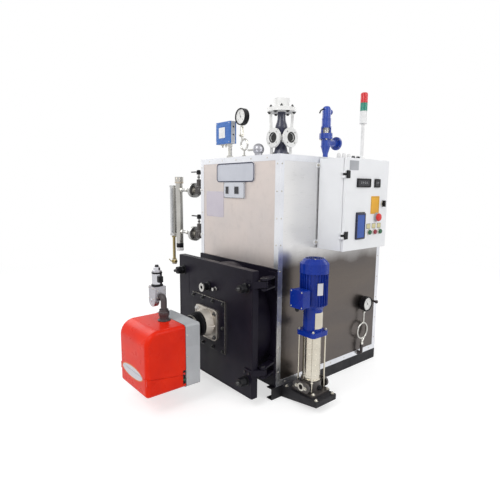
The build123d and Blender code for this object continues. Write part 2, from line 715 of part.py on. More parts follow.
# Hinge ears that carry the furnace door, on feet against the front plate, with their pins
ear_pitch = HINGE_LUG_HEIGHT + 2 * HINGE_FACE_GAP + HINGE_EAR_THICKNESS
foot_face_y = FRONT_PLATE_Y - HINGE_FOOT_THICKNESS
with BuildPart() as hinge_brackets:
    for z in HINGE_HEIGHTS:
        with BuildSketch(Plane.XZ.offset(-FRONT_PLATE_Y)):
            with Locations((SIDE_X - HINGE_FOOT_WIDTH / 2, z)):
                Rectangle(HINGE_FOOT_WIDTH, HINGE_FOOT_HEIGHT)
        extrude(amount=HINGE_FOOT_THICKNESS)
        for step in (-1, 1):
            with BuildSketch(Plane.XY.offset(z + step * ear_pitch / 2 - HINGE_EAR_THICKNESS / 2)):
                with BuildLine():
                    Polyline(
                        (HINGE_X - HINGE_EYE_RADIUS, HINGE_Y),
                        (HINGE_X + HINGE_EYE_RADIUS, HINGE_Y),
                        (SIDE_X, foot_face_y),
                        (SIDE_X - HINGE_FOOT_WIDTH + HINGE_EYE_RADIUS, foot_face_y),
                        close=True,
                    )
                make_face()
                with Locations((HINGE_X, HINGE_Y)):
                    Circle(HINGE_EYE_RADIUS)
            extrude(amount=HINGE_EAR_THICKNESS)
        with BuildSketch(Plane.XY.offset(z)):
            with Locations((HINGE_X, HINGE_Y)):
                Circle(HINGE_PIN_RADIUS)
        extrude(amount=(ear_pitch + HINGE_EAR_THICKNESS) / 2 + HINGE_PIN_HEAD_HEIGHT, both=True)
hinge_brackets.part.label = "hinge_brackets"
export_step(hinge_brackets.part, "parts/hinge_brackets.step")

# Furnace door with its two hinge lugs
with BuildPart() as furnace_door:
    with BuildSketch(Plane.XZ.offset(-DOOR_BACK_Y)):
        with Locations((0, DOOR_Z)):
            Rectangle(DOOR_WIDTH, DOOR_HEIGHT)
    extrude(amount=DOOR_THICKNESS)
    fillet(furnace_door.edges().filter_by(Axis.Z), DOOR_EDGE_RADIUS)
    chamfer(furnace_door.faces().sort_by(Axis.Z)[-1].edges().filter_by(Axis.X), DOOR_EDGE_RADIUS / 2)
    for z in HINGE_HEIGHTS:
        with BuildSketch(Plane.XY.offset(z - HINGE_LUG_HEIGHT / 2)):
            with BuildLine():
                Polyline(
                    (DOOR_WIDTH / 2 - HINGE_FOOT_WIDTH, DOOR_FRONT_Y + DOOR_EDGE_RADIUS),
                    (DOOR_WIDTH / 2, DOOR_FRONT_Y + DOOR_EDGE_RADIUS),
                    (HINGE_X + HINGE_EYE_RADIUS, HINGE_Y),
                    (HINGE_X - HINGE_EYE_RADIUS, HINGE_Y),
                    (DOOR_WIDTH / 2 - HINGE_FOOT_WIDTH, DOOR_BACK_Y),
                    close=True,
                )
            make_face()
            with Locations((HINGE_X, HINGE_Y)):
                Circle(HINGE_EYE_RADIUS)
                Circle(HINGE_PIN_RADIUS + PIN_CLEARANCE, mode=Mode.SUBTRACT)
        extrude(amount=HINGE_LUG_HEIGHT)
    with BuildSketch(Plane.XZ.offset(-DOOR_BACK_Y)):
        with Locations((FURNACE_X, FURNACE_Z)):
            Circle(BLAST_TUBE_RADIUS)
    extrude(amount=DOOR_THICKNESS, mode=Mode.SUBTRACT)
furnace_door.part.label = "furnace_door"
export_step(furnace_door.part, "parts/furnace_door.step")

# Refractory plug behind the door, inside the mouth of the drum
with BuildPart() as door_refractory:
    with BuildSketch(Plane.XZ.offset(-DOOR_BACK_Y)):
        with Locations((0, DRUM_Z)):
            Circle(PLUG_RADIUS)
        with Locations((FURNACE_X, FURNACE_Z)):
            Circle(BLAST_TUBE_RADIUS, mode=Mode.SUBTRACT)
    extrude(amount=-PLUG_THICKNESS)
    chamfer(door_refractory.faces().sort_by(Axis.Y)[-1].edges().group_by(SortBy.LENGTH)[-1], PLUG_CLEARANCE)
door_refractory.part.label = "door_refractory"
export_step(door_refractory.part, "parts/door_refractory.step")

# Clamp studs and knobs at the door's corners
knob_x = DOOR_WIDTH / 2 - KNOB_INSET_X
knob_z = DOOR_HEIGHT / 2 - KNOB_INSET_Z
with BuildPart() as door_knobs:
    with BuildSketch(Plane.XZ.offset(-DOOR_FRONT_Y)):
        with Locations((0, DOOR_Z)):
            with GridLocations(2 * knob_x, 2 * knob_z, 2, 2):
                Circle(STUD_RADIUS)
    extrude(amount=STUD_LENGTH)
    with BuildSketch(Plane.XZ.offset(-DOOR_FRONT_Y)):
        with Locations((0, DOOR_Z)):
            with GridLocations(2 * knob_x, 2 * knob_z, 2, 2):
                RegularPolygon(KNOB_RADIUS, 6)
    extrude(amount=KNOB_LENGTH)
door_knobs.part.label = "door_knobs"
export_step(door_knobs.part, "parts/door_knobs.step")

# Sight glass with a bright ring, and the stub for its cooling air
with BuildPart() as sight_glass:
    with BuildSketch(Plane.XZ.offset(-DOOR_FRONT_Y)):
        with Locations((SIGHT_X, SIGHT_Z)):
            Circle(SIGHT_RADIUS)
    extrude(amount=SIGHT_LENGTH)
    with BuildSketch(Plane.XZ.offset(-DOOR_FRONT_Y + SIGHT_LENGTH)):
        with Locations((SIGHT_X, SIGHT_Z)):
            Circle(SIGHT_BORE)
    extrude(amount=-SIGHT_LENGTH / 4, mode=Mode.SUBTRACT)
    with BuildSketch(Plane.XZ.offset(-DOOR_FRONT_Y)):
        with Locations((SIGHT_X + SIGHT_STUB_OFFSET, SIGHT_Z)):
            Circle(SIGHT_STUB_RADIUS)
    extrude(amount=SIGHT_STUB_LENGTH)
sight_glass.part.label = "sight_glass"
export_step(sight_glass.part, "parts/sight_glass.step")

# Raised plate that carries the burner
with BuildPart() as burner_plate:
    with BuildSketch(Plane.XZ.offset(-DOOR_FRONT_Y)):
        with Locations((BURNER_X, FURNACE_Z)):
            Rectangle(BURNER_PLATE_WIDTH, BURNER_PLATE_HEIGHT)
        with Locations((FURNACE_X, FURNACE_Z)):
            Circle(BLAST_TUBE_RADIUS, mode=Mode.SUBTRACT)
    extrude(amount=BURNER_PLATE_THICKNESS)
burner_plate.part.label = "burner_plate"
export_step(burner_plate.part, "parts/burner_plate.step")

# Cast burner flange: rounded plate, collar and webs between them
with BuildPart() as burner_flange:
    with BuildSketch(Plane.XZ.offset(-FLANGE_BASE_Y)):
        with Locations((FURNACE_X, FURNACE_Z)):
            RectangleRounded(FLANGE_WIDTH, FLANGE_HEIGHT, FLANGE_CORNER)
    extrude(amount=FLANGE_THICKNESS)
    with BuildSketch(Plane.XZ.offset(-FLANGE_BASE_Y + FLANGE_THICKNESS)):
        with Locations((FURNACE_X, FURNACE_Z)):
            Circle(FLANGE_COLLAR_RADIUS)
            Rectangle(FLANGE_WIDTH - FLANGE_CORNER, FLANGE_RIB)
            Rectangle(FLANGE_RIB, FLANGE_HEIGHT - FLANGE_CORNER)
    extrude(amount=FLANGE_COLLAR_LENGTH, taper=FLANGE_TAPER)
    with BuildSketch(Plane.XZ.offset(-FLANGE_BASE_Y)):
        with Locations((FURNACE_X, FURNACE_Z)):
            Circle(BLAST_TUBE_RADIUS)
    extrude(amount=FLANGE_THICKNESS + FLANGE_COLLAR_LENGTH, mode=Mode.SUBTRACT)
burner_flange.part.label = "burner_flange"
export_step(burner_flange.part, "parts/burner_flange.step")

# Black snout between flange and burner, running on as the blast tube through the door
snout_start_y = FLANGE_BASE_Y - FLANGE_THICKNESS - FLANGE_COLLAR_LENGTH
blast_tube_end_y = DOOR_BACK_Y + BLAST_TUBE_REACH
with BuildPart() as burner_snout:
    with BuildSketch(Plane.XZ.offset(-snout_start_y)):
        with Locations((FURNACE_X, FURNACE_Z)):
            Circle(SNOUT_RADIUS)
    extrude(amount=snout_start_y - BODY_REAR_Y)
    with BuildSketch(Plane.XZ.offset(-snout_start_y)):
        with Locations((FURNACE_X, FURNACE_Z)):
            Circle(SNOUT_RING_RADIUS)
    extrude(amount=SNOUT_RING_LENGTH)
    with BuildSketch(Plane.XZ.offset(-snout_start_y)):
        with Locations((FURNACE_X, FURNACE_Z)):
            Circle(BLAST_TUBE_RADIUS - SEAT_GAP)
            Circle(BLAST_TUBE_RADIUS - BLAST_TUBE_WALL, mode=Mode.SUBTRACT)
    extrude(amount=snout_start_y - blast_tube_end_y)
burner_snout.part.label = "burner_snout"
export_step(burner_snout.part, "parts/burner_snout.step")

# Grey fan housing of the burner
with BuildPart() as burner_body:
    with BuildSketch(Plane.XZ.offset(-BODY_REAR_Y)):
        with Locations((BURNER_X, BURNER_BOTTOM + BURNER_HEIGHT / 2)):
            Rectangle(BURNER_WIDTH, BURNER_HEIGHT)
    extrude(amount=BODY_LENGTH)
    fillet(burner_body.edges().filter_by(Axis.Y), BODY_EDGE_RADIUS)
burner_body.part.label = "burner_body"
export_step(burner_body.part, "parts/burner_body.step")

# Red hood with a big nose radius
with BuildPart() as burner_hood:
    with BuildSketch(Plane.YZ.offset(BURNER_X)):
        with BuildLine():
            FilletPolyline(
                (HOOD_REAR_Y, BURNER_BOTTOM),
                (HOOD_FRONT_Y, BURNER_BOTTOM),
                (HOOD_FRONT_Y, BURNER_TOP),
                (HOOD_REAR_Y, BURNER_TOP),
                radius=[HOOD_TOE_RADIUS, HOOD_NOSE_RADIUS],
            )
            Line((HOOD_REAR_Y, BURNER_TOP), (HOOD_REAR_Y, BURNER_BOTTOM))
        make_face()
    extrude(amount=BURNER_WIDTH / 2, both=True)
    fillet(
        burner_hood.faces().sort_by(Axis.X)[0].edges().filter_by_position(
            Axis.Y, HOOD_FRONT_Y, HOOD_REAR_Y - 1
        )
        + burner_hood.faces().sort_by(Axis.X)[-1].edges().filter_by_position(
            Axis.Y, HOOD_FRONT_Y, HOOD_REAR_Y - 1
        ),
        HOOD_SIDE_RADIUS,
    )
    with BuildSketch(Plane.YZ.offset(BURNER_X)):
        with BuildLine():
            Polyline(
                (HOOD_FRONT_Y - HOOD_CREASE, BURNER_BOTTOM + HOOD_CREASE_FRONT),
                (HOOD_REAR_Y, BURNER_BOTTOM + HOOD_CREASE_REAR),
                (HOOD_REAR_Y, BURNER_BOTTOM + HOOD_CREASE_REAR + HOOD_CREASE),
                (HOOD_FRONT_Y - HOOD_CREASE, BURNER_BOTTOM + HOOD_CREASE_FRONT + HOOD_CREASE),
                close=True,
            )
        make_face()
    extrude(amount=BURNER_WIDTH, both=True, mode=Mode.SUBTRACT)
    with BuildSketch(Plane.YZ.offset(BURNER_X)):
        with BuildLine():
            Polyline(
                (HOOD_FRONT_Y + HOOD_CREASE, BURNER_BOTTOM + HOOD_CREASE_REAR),
                (HOOD_REAR_Y, BURNER_BOTTOM + HOOD_CREASE_REAR),
                (HOOD_REAR_Y, BURNER_BOTTOM + HOOD_CREASE_FRONT + HOOD_CREASE),
                (HOOD_FRONT_Y + HOOD_CREASE, BURNER_BOTTOM + HOOD_CREASE_FRONT + HOOD_CREASE),
                close=True,
            )
        make_face()
    extrude(amount=BURNER_WIDTH / 2 - HOOD_CREASE, both=True)
    with BuildSketch(Plane.YZ.offset(BURNER_X + BURNER_WIDTH / 2)):
        with Locations((HOOD_REAR_Y - RECESS_LENGTH / 2, BURNER_BOTTOM + RECESS_BOTTOM + RECESS_HEIGHT / 2)):
            Rectangle(RECESS_LENGTH, RECESS_HEIGHT)
    extrude(amount=-RECESS_DEPTH, mode=Mode.SUBTRACT)
burner_hood.part.label = "burner_hood"
export_step(burner_hood.part, "parts/burner_hood.step")

# Iron union and bend from the burner up to the gas valve
gas_pipe_top = BURNER_TOP + UNION_HEIGHT + GAS_RISE
with BuildPart() as gas_pipe:
    with BuildSketch(Plane.XY.offset(BURNER_TOP)):
        with Locations((GAS_X, GAS_Y)):
            RegularPolygon(UNION_RADIUS, 8)
    extrude(amount=UNION_HEIGHT)
    with BuildLine():
        gas_route = FilletPolyline(
            (GAS_X, GAS_Y, BURNER_TOP + UNION_HEIGHT / 2),
            (GAS_X, GAS_Y, gas_pipe_top),
            (GAS_X - GAS_BLOCK_WIDTH / 2, GAS_Y, gas_pipe_top),
            radius=GAS_BEND / 2,
        )
    with BuildSketch(Plane(origin=gas_route @ 0, z_dir=gas_route % 0)):
        Circle(GAS_PIPE_RADIUS)
    sweep(path=gas_route)
gas_pipe.part.label = "gas_pipe"
export_step(gas_pipe.part, "parts/gas_pipe.step")

# Gas valve: block, governor, coil and cap
gas_block_x = GAS_X - GAS_BLOCK_WIDTH
gas_block_bottom = gas_pipe_top - GAS_BLOCK_HEIGHT / 3
with BuildPart() as gas_valve:
    with BuildSketch(Plane.XY.offset(gas_block_bottom)):
        with Locations((gas_block_x, GAS_Y)):
            RectangleRounded(GAS_BLOCK_WIDTH, GAS_BLOCK_WIDTH, GAS_BLOCK_CORNER)
    extrude(amount=GAS_BLOCK_HEIGHT)
    with BuildSketch(Plane.XZ.offset(-GAS_Y + GAS_BLOCK_WIDTH / 2)):
        with Locations((gas_block_x, gas_block_bottom)):
            Circle(GAS_GOVERNOR_RADIUS)
    extrude(amount=-GAS_GOVERNOR_LENGTH)
    with BuildSketch(Plane.XY.offset(gas_block_bottom + GAS_BLOCK_HEIGHT)):
        with Locations((gas_block_x, GAS_Y)):
            Circle(GAS_COIL_RADIUS)
    extrude(amount=GAS_COIL_HEIGHT)
    with BuildSketch(Plane.XY.offset(gas_block_bottom + GAS_BLOCK_HEIGHT + GAS_COIL_HEIGHT)):
        with Locations((gas_block_x, GAS_Y)):
            RegularPolygon(GAS_CAP_RADIUS, 6)
    extrude(amount=GAS_CAP_HEIGHT)
    with BuildSketch(Plane.XY.offset(gas_block_bottom + GAS_BLOCK_HEIGHT + GAS_COIL_HEIGHT + GAS_CAP_HEIGHT)):
        with Locations((gas_block_x, GAS_Y)):
            Circle(GAS_TIP_RADIUS)
    extrude(amount=GAS_TIP_HEIGHT)
gas_valve.part.label = "gas_valve"
export_step(gas_valve.part, "parts/gas_valve.step")

# Pump foot and volute with an oval flange front and rear
with BuildPart() as pump_base:
    with BuildSketch(Plane.XY.offset(SKID_HEIGHT)):
        with Locations((PUMP_X, PUMP_Y)):
            RectangleRounded(PUMP_FOOT_WIDTH, PUMP_FOOT_LENGTH, PUMP_FOOT_CORNER)
    extrude(amount=PUMP_FOOT_HEIGHT)
    with BuildSketch(Plane.XY.offset(SKID_HEIGHT + PUMP_FOOT_HEIGHT)):
        with Locations((PUMP_X, PUMP_Y)):
            Circle(PUMP_BASE_RADIUS)
    extrude(amount=PUMP_BASE_HEIGHT - PUMP_FOOT_HEIGHT)
    with BuildSketch(Plane.XZ.offset(-PUMP_Y)):
        with Locations((PUMP_X, PUMP_PORT_Z)):
            Circle(PUMP_PORT_PIPE)
    extrude(amount=PUMP_PORT_REACH, both=True)
    for side in (-1, 1):
        with BuildSketch(Plane.XZ.offset(-PUMP_Y + side * PUMP_PORT_REACH)):
            with Locations((PUMP_X, PUMP_PORT_Z)):
                SlotCenterToCenter(PUMP_PORT_BOLT_WIDTH, PUMP_PORT_FLANGE_WIDTH)
                Circle(PUMP_PORT_BORE, mode=Mode.SUBTRACT)
                with GridLocations(PUMP_PORT_BOLT_WIDTH, 1, 2, 1):
                    Circle(PUMP_PORT_BOLT_RADIUS, mode=Mode.SUBTRACT)
        extrude(amount=-side * PUMP_PORT_FLANGE)
        with BuildSketch(Plane.XZ.offset(-PUMP_Y + side * PUMP_PORT_REACH)):
            with Locations((PUMP_X, PUMP_PORT_Z)):
                Circle(PUMP_PORT_BORE)
        extrude(amount=-side * 3 * PUMP_PORT_FLANGE, mode=Mode.SUBTRACT)
pump_base.part.label = "pump_base"
export_step(pump_base.part, "parts/pump_base.step")

# Pump head and motor stool in one casting, with the coupling window
with BuildPart() as pump_head:
    with BuildSketch(Plane.XY.offset(PUMP_SLEEVE_TOP)):
        with Locations((PUMP_X, PUMP_Y)):
            RectangleRounded(PUMP_HEAD_WIDTH, PUMP_HEAD_WIDTH, PUMP_HEAD_CORNER)
    extrude(amount=PUMP_HEAD_HEIGHT)
    with BuildSketch(Plane.XY.offset(PUMP_HEAD_TOP)):
        with Locations((PUMP_X, PUMP_Y)):
            Circle(LANTERN_RADIUS)
    extrude(amount=LANTERN_HEIGHT)
    with BuildSketch(Plane.YZ.offset(PUMP_X)):
        with Locations((PUMP_Y, PUMP_HEAD_TOP + LANTERN_HEIGHT / 2)):
            Rectangle(LANTERN_WINDOW_WIDTH, LANTERN_WINDOW_HEIGHT)
    extrude(amount=LANTERN_RADIUS, both=True, mode=Mode.SUBTRACT)
pump_head.part.label = "pump_head"
export_step(pump_head.part, "parts/pump_head.step")

# Stainless pieces of the pump: sleeve, four tie rods and two curved coupling guards
guard_overlap = 6
guard_bottom = PUMP_HEAD_TOP + (LANTERN_HEIGHT - LANTERN_WINDOW_HEIGHT) / 2 - guard_overlap
with BuildPart() as pump_stainless:
    with BuildSketch(Plane.XY.offset(PUMP_BASE_TOP)):
        with Locations((PUMP_X, PUMP_Y)):
            Circle(PUMP_SLEEVE_RADIUS)
    extrude(amount=PUMP_SLEEVE_HEIGHT)
    with BuildSketch(Plane.XY.offset(SKID_HEIGHT + PUMP_FOOT_HEIGHT)):
        with Locations((PUMP_X, PUMP_Y)):
            with GridLocations(PUMP_ROD_SQUARE, PUMP_ROD_SQUARE, 2, 2):
                Circle(PUMP_ROD_RADIUS)
    extrude(amount=PUMP_SLEEVE_TOP - SKID_HEIGHT - PUMP_FOOT_HEIGHT)
    with BuildSketch(Plane.XY.offset(guard_bottom)):
        with Locations((PUMP_X, PUMP_Y)):
            Circle(LANTERN_RADIUS + SEAT_GAP + GUARD_THICKNESS)
            Circle(LANTERN_RADIUS + SEAT_GAP, mode=Mode.SUBTRACT)
            Rectangle(
                4 * LANTERN_RADIUS,
                LANTERN_WINDOW_WIDTH + 2 * guard_overlap,
                mode=Mode.INTERSECT,
            )
    extrude(amount=LANTERN_WINDOW_HEIGHT + 2 * guard_overlap)
pump_stainless.part.label = "pump_stainless"
export_step(pump_stainless.part, "parts/pump_stainless.step")

# Finned motor under its fan cover
with BuildPart() as pump_motor:
    with BuildSketch(Plane.XY.offset(LANTERN_TOP)):
        with Locations((PUMP_X, PUMP_Y)):
            Circle(LANTERN_RADIUS)
    with BuildSketch(Plane.XY.offset(LANTERN_TOP + MOTOR_BELL_HEIGHT)):
        with Locations((PUMP_X, PUMP_Y)):
            Circle(MOTOR_RADIUS)
    loft()
    with BuildSketch(Plane.XY.offset(LANTERN_TOP + MOTOR_BELL_HEIGHT)):
        with Locations((PUMP_X, PUMP_Y)):
            Circle(MOTOR_RADIUS)
            with PolarLocations(MOTOR_RADIUS, MOTOR_FIN_COUNT):
                Rectangle(2 * MOTOR_FIN_HEIGHT, MOTOR_FIN_THICKNESS)
    extrude(amount=MOTOR_HEIGHT)
    with BuildSketch(Plane.XY.offset(MOTOR_TOP)):
        with Locations((PUMP_X, PUMP_Y)):
            Circle(FAN_COVER_RADIUS)
    extrude(amount=FAN_COVER_HEIGHT)
    chamfer(pump_motor.faces().sort_by(Axis.Z)[-1].edges(), FAN_COVER_CHAMFER)
pump_motor.part.label = "pump_motor"
export_step(pump_motor.part, "parts/pump_motor.step")

# Motor terminal box
terminal_z = LANTERN_TOP + MOTOR_BELL_HEIGHT + TERMINAL_HEIGHT / 2
with BuildPart() as terminal_box:
    with BuildSketch(Plane.XZ.offset(-PUMP_Y + MOTOR_RADIUS + MOTOR_FIN_HEIGHT)):
        with Locations((PUMP_X, terminal_z)):
            RectangleRounded(TERMINAL_WIDTH, TERMINAL_HEIGHT, TERMINAL_CORNER)
    extrude(amount=TERMINAL_DEPTH)
    chamfer(terminal_box.faces().sort_by(Axis.Y)[0].edges(), TERMINAL_LID_CHAMFER)
terminal_box.part.label = "terminal_box"
export_step(terminal_box.part, "parts/terminal_box.step")

# Control cabinet shell, open towards its door
with BuildPart() as control_cabinet:
    with BuildSketch(Plane.YZ.offset(CONTROL_BACK_X)):
        with Locations((CONTROL_MID_Y, CONTROL_MID_Z)):
            Rectangle(CONTROL_WIDTH, CONTROL_HEIGHT)
    extrude(amount=CONTROL_DEPTH)
    with BuildSketch(Plane.YZ.offset(CONTROL_BACK_X + CONTROL_SHEET)):
        with Locations((CONTROL_MID_Y, CONTROL_MID_Z)):
            Rectangle(CONTROL_WIDTH - 2 * CONTROL_SHEET, CONTROL_HEIGHT - 2 * CONTROL_SHEET)
    extrude(amount=CONTROL_DEPTH - 2 * CONTROL_SHEET, mode=Mode.SUBTRACT)
    with BuildSketch(Plane.YZ.offset(CONTROL_RIM_X)):
        with Locations((CONTROL_MID_Y, CONTROL_MID_Z)):
            Rectangle(CONTROL_WIDTH - 2 * CONTROL_LIP, CONTROL_HEIGHT - 2 * CONTROL_LIP)
    extrude(amount=-CONTROL_SHEET, mode=Mode.SUBTRACT)
control_cabinet.part.label = "control_cabinet"
export_step(control_cabinet.part, "parts/control_cabinet.step")

# Straps that hold the control cabinet off the side panel
with BuildPart() as cabinet_brackets:
    for z in (CONTROL_BOTTOM + CONTROL_BRACKET_INSET, CONTROL_TOP - CONTROL_BRACKET_INSET):
        with BuildSketch(Plane.YZ.offset(PANEL_X)):
            with Locations((CONTROL_MID_Y, z)):
                Rectangle(CONTROL_WIDTH + 2 * CONTROL_BRACKET_WIDTH, CONTROL_BRACKET_WIDTH)
        extrude(amount=CONTROL_BACK_X - PANEL_X)
cabinet_brackets.part.label = "cabinet_brackets"
export_step(cabinet_brackets.part, "parts/cabinet_brackets.step")

# Mounting plate inside the control cabinet
with BuildPart() as mounting_plate:
    with BuildSketch(Plane.YZ.offset(CONTROL_BACK_X + CONTROL_SHEET + MOUNTING_PLATE_GAP)):
        with Locations((CONTROL_MID_Y, CONTROL_MID_Z)):
            Rectangle(CONTROL_WIDTH - 2 * MOUNTING_PLATE_MARGIN, CONTROL_HEIGHT - 2 * MOUNTING_PLATE_MARGIN)
    extrude(amount=MOUNTING_PLATE_THICKNESS)
    with BuildSketch(Plane.YZ.offset(CONTROL_BACK_X + CONTROL_SHEET)):
        with Locations((CONTROL_MID_Y, CONTROL_MID_Z)):
            with GridLocations(
                CONTROL_WIDTH - 4 * MOUNTING_PLATE_MARGIN, CONTROL_HEIGHT - 4 * MOUNTING_PLATE_MARGIN, 2, 2
            ):
                Circle(HINGE_BARREL_RADIUS)
    extrude(amount=MOUNTING_PLATE_GAP)
mounting_plate.part.label = "mounting_plate"
export_step(mounting_plate.part, "parts/mounting_plate.step")

# Fixed halves of the control door hinges, with their pins
control_hinge_heights = (CONTROL_BOTTOM + CONTROL_HINGE_INSET, CONTROL_TOP - CONTROL_HINGE_INSET)
arm_back_x = CONTROL_HINGE_X - HINGE_ARM_LENGTH
with BuildPart() as cabinet_hinges:
    for z in control_hinge_heights:
        for step in (-1, 1):
            knuckle_z = z + step * (HINGE_BARREL_HEIGHT + HINGE_BARREL_GAP)
            with BuildSketch(Plane.XY.offset(knuckle_z - HINGE_BARREL_HEIGHT / 2)):
                with BuildLine():
                    Polyline(
                        (CONTROL_HINGE_X, CONTROL_HINGE_Y - HINGE_BARREL_RADIUS),
                        (CONTROL_HINGE_X, CONTROL_HINGE_Y + HINGE_BARREL_OUT / 2),
                        (CONTROL_RIM_X, CONTROL_HINGE_Y + HINGE_BARREL_OUT / 2),
                        (CONTROL_RIM_X, CONTROL_NEAR_Y),
                        (arm_back_x, CONTROL_NEAR_Y),
                        (arm_back_x, CONTROL_HINGE_Y - HINGE_BARREL_RADIUS),
                        close=True,
                    )
                make_face()
                with Locations((CONTROL_HINGE_X, CONTROL_HINGE_Y)):
                    Circle(HINGE_BARREL_RADIUS)
            extrude(amount=HINGE_BARREL_HEIGHT)
        with BuildSketch(Plane.XY.offset(z - HINGE_BARREL_HEIGHT)):
            with Locations((CONTROL_HINGE_X, CONTROL_HINGE_Y)):
                Circle(HINGE_BARREL_PIN)
        extrude(amount=2 * HINGE_BARREL_HEIGHT)
cabinet_hinges.part.label = "cabinet_hinges"
export_step(cabinet_hinges.part, "parts/cabinet_hinges.step")

# Control door, a folded pan
with BuildPart() as control_door:
    with BuildSketch(Plane.YZ.offset(CONTROL_DOOR_BACK_X)):
        with Locations((CONTROL_MID_Y, CONTROL_MID_Z)):
            Rectangle(CONTROL_WIDTH, CONTROL_HEIGHT)
    extrude(amount=CONTROL_DOOR_THICKNESS)
    chamfer(control_door.faces().sort_by(Axis.X)[-1].edges(), CONTROL_SHEET)
control_door.part.label = "control_door"
export_step(control_door.part, "parts/control_door.step")

# Moving halves of the control door hinges, lapped on the door's face, and the lock
leaf_back = CONTROL_DOOR_X - CONTROL_HINGE_X
leaf_x = CONTROL_DOOR_X + HINGE_LEAF_THICKNESS / 2
with BuildPart() as door_hardware:
    for z in control_hinge_heights:
        with BuildSketch(Plane.XY.offset(z - HINGE_BARREL_HEIGHT / 2)):
            with Locations((CONTROL_HINGE_X, CONTROL_HINGE_Y)):
                Circle(HINGE_BARREL_RADIUS)
            with Locations((leaf_x, CONTROL_HINGE_Y + HINGE_LEAF_WIDTH / 2)):
                Rectangle(HINGE_LEAF_THICKNESS, HINGE_LEAF_WIDTH)
            with Locations((CONTROL_HINGE_X + leaf_back / 2, CONTROL_HINGE_Y + HINGE_BARREL_RADIUS / 2)):
                Rectangle(leaf_back, HINGE_BARREL_RADIUS)
            with Locations((CONTROL_HINGE_X, CONTROL_HINGE_Y)):
                Circle(HINGE_BARREL_PIN + PIN_CLEARANCE, mode=Mode.SUBTRACT)
        extrude(amount=HINGE_BARREL_HEIGHT)
        with BuildSketch(Plane.YZ.offset(CONTROL_DOOR_X)):
            with Locations((CONTROL_NEAR_Y + HINGE_COVER_INSET + HINGE_COVER_WIDTH / 2, z)):
                Rectangle(HINGE_COVER_WIDTH, HINGE_COVER_HEIGHT)
        extrude(amount=HINGE_LEAF_THICKNESS)
    with BuildSketch(Plane.YZ.offset(CONTROL_DOOR_X)):
        with Locations((CONTROL_NEAR_Y + LOCK_FROM_EDGE, CONTROL_BOTTOM + LOCK_RISE)):
            Circle(LOCK_RADIUS)
    extrude(amount=LOCK_DEPTH / 2)
    with BuildSketch(Plane.YZ.offset(CONTROL_DOOR_X)):
        with Locations((CONTROL_NEAR_Y + LOCK_FROM_EDGE, CONTROL_BOTTOM + LOCK_RISE)):
            SlotOverall(LOCK_GRIP_LENGTH, LOCK_GRIP_WIDTH, rotation=90)
    extrude(amount=LOCK_DEPTH)
door_hardware.part.label = "door_hardware"
export_step(door_hardware.part, "parts/door_hardware.step")

# Displays on the control door: meter, timer and portrait screen
with BuildPart() as door_displays:
    with BuildSketch(Plane.YZ.offset(CONTROL_DOOR_X)):
        with Locations((CONTROL_NEAR_Y + METER_FROM_EDGE, CONTROL_BOTTOM + METER_RISE)):
            Rectangle(METER_WIDTH, METER_HEIGHT)
        with Locations((CONTROL_NEAR_Y + TIMER_FROM_EDGE, CONTROL_BOTTOM + METER_RISE)):
            Rectangle(TIMER_WIDTH, METER_HEIGHT)
        with Locations((CONTROL_NEAR_Y + SCREEN_FROM_EDGE, CONTROL_BOTTOM + SCREEN_RISE)):
            Rectangle(SCREEN_WIDTH, SCREEN_HEIGHT)
    extrude(amount=DISPLAY_DEPTH)
door_displays.part.label = "door_displays"
export_step(door_displays.part, "parts/door_displays.step")

# Emergency stop and a row of push buttons
with BuildPart() as door_buttons:
    with BuildSketch(Plane.YZ.offset(CONTROL_DOOR_X)):
        with Locations((CONTROL_NEAR_Y + STOP_FROM_EDGE, CONTROL_BOTTOM + STOP_RISE)):
            Circle(STOP_NECK_RADIUS)
    extrude(amount=BUTTON_LENGTH)
    with BuildSketch(Plane.YZ.offset(CONTROL_DOOR_X + BUTTON_LENGTH)):
        with Locations((CONTROL_NEAR_Y + STOP_FROM_EDGE, CONTROL_BOTTOM + STOP_RISE)):
            Circle(STOP_RADIUS)
    extrude(amount=BUTTON_LENGTH)
    fillet(door_buttons.faces().sort_by(Axis.X)[-1].edges(), BUTTON_LENGTH / 2)
    with BuildSketch(Plane.YZ.offset(CONTROL_DOOR_X)):
        for index in range(BUTTON_COUNT):
            button_y = CONTROL_NEAR_Y + BUTTON_FROM_EDGE + index * BUTTON_PITCH
            with Locations((button_y, CONTROL_BOTTOM + BUTTON_RISE)):
                Circle(BUTTON_RADIUS)
    extrude(amount=BUTTON_LENGTH)
door_buttons.part.label = "door_buttons"
export_step(door_buttons.part, "parts/door_buttons.step")

# Cable glands on the roof of the control cabinet
with BuildPart() as cable_glands:
    for index in range(GLAND_COUNT):
        with BuildSketch(Plane.XY.offset(CONTROL_TOP)):
            with Locations((GLAND_X, CONTROL_NEAR_Y + GLAND_FROM_EDGE + index * GLAND_PITCH)):
                RegularPolygon(GLAND_RADIUS, 6)
        extrude(amount=GLAND_HEIGHT)
cable_glands.part.label = "cable_glands"
export_step(cable_glands.part, "parts/cable_glands.step")

# Light tower: foot, pole and white base
with BuildPart() as light_pole:
    with BuildSketch(Plane.XY.offset(CONTROL_TOP)):
        with Locations((LIGHT_X, LIGHT_Y)):
            Circle(LIGHT_FOOT_RADIUS)
    extrude(amount=LIGHT_FOOT_HEIGHT)
    with BuildSketch(Plane.XY.offset(CONTROL_TOP)):
        with Locations((LIGHT_X, LIGHT_Y)):
            Circle(LIGHT_POLE_RADIUS)
    extrude(amount=LIGHT_POLE_HEIGHT)
    with BuildSketch(Plane.XY.offset(LIGHT_BASE_Z)):
        with Locations((LIGHT_X, LIGHT_Y)):
            Circle(LIGHT_RADIUS)
    extrude(amount=LIGHT_BASE_HEIGHT)
light_pole.part.label = "light_pole"
export_step(light_pole.part, "parts/light_pole.step")

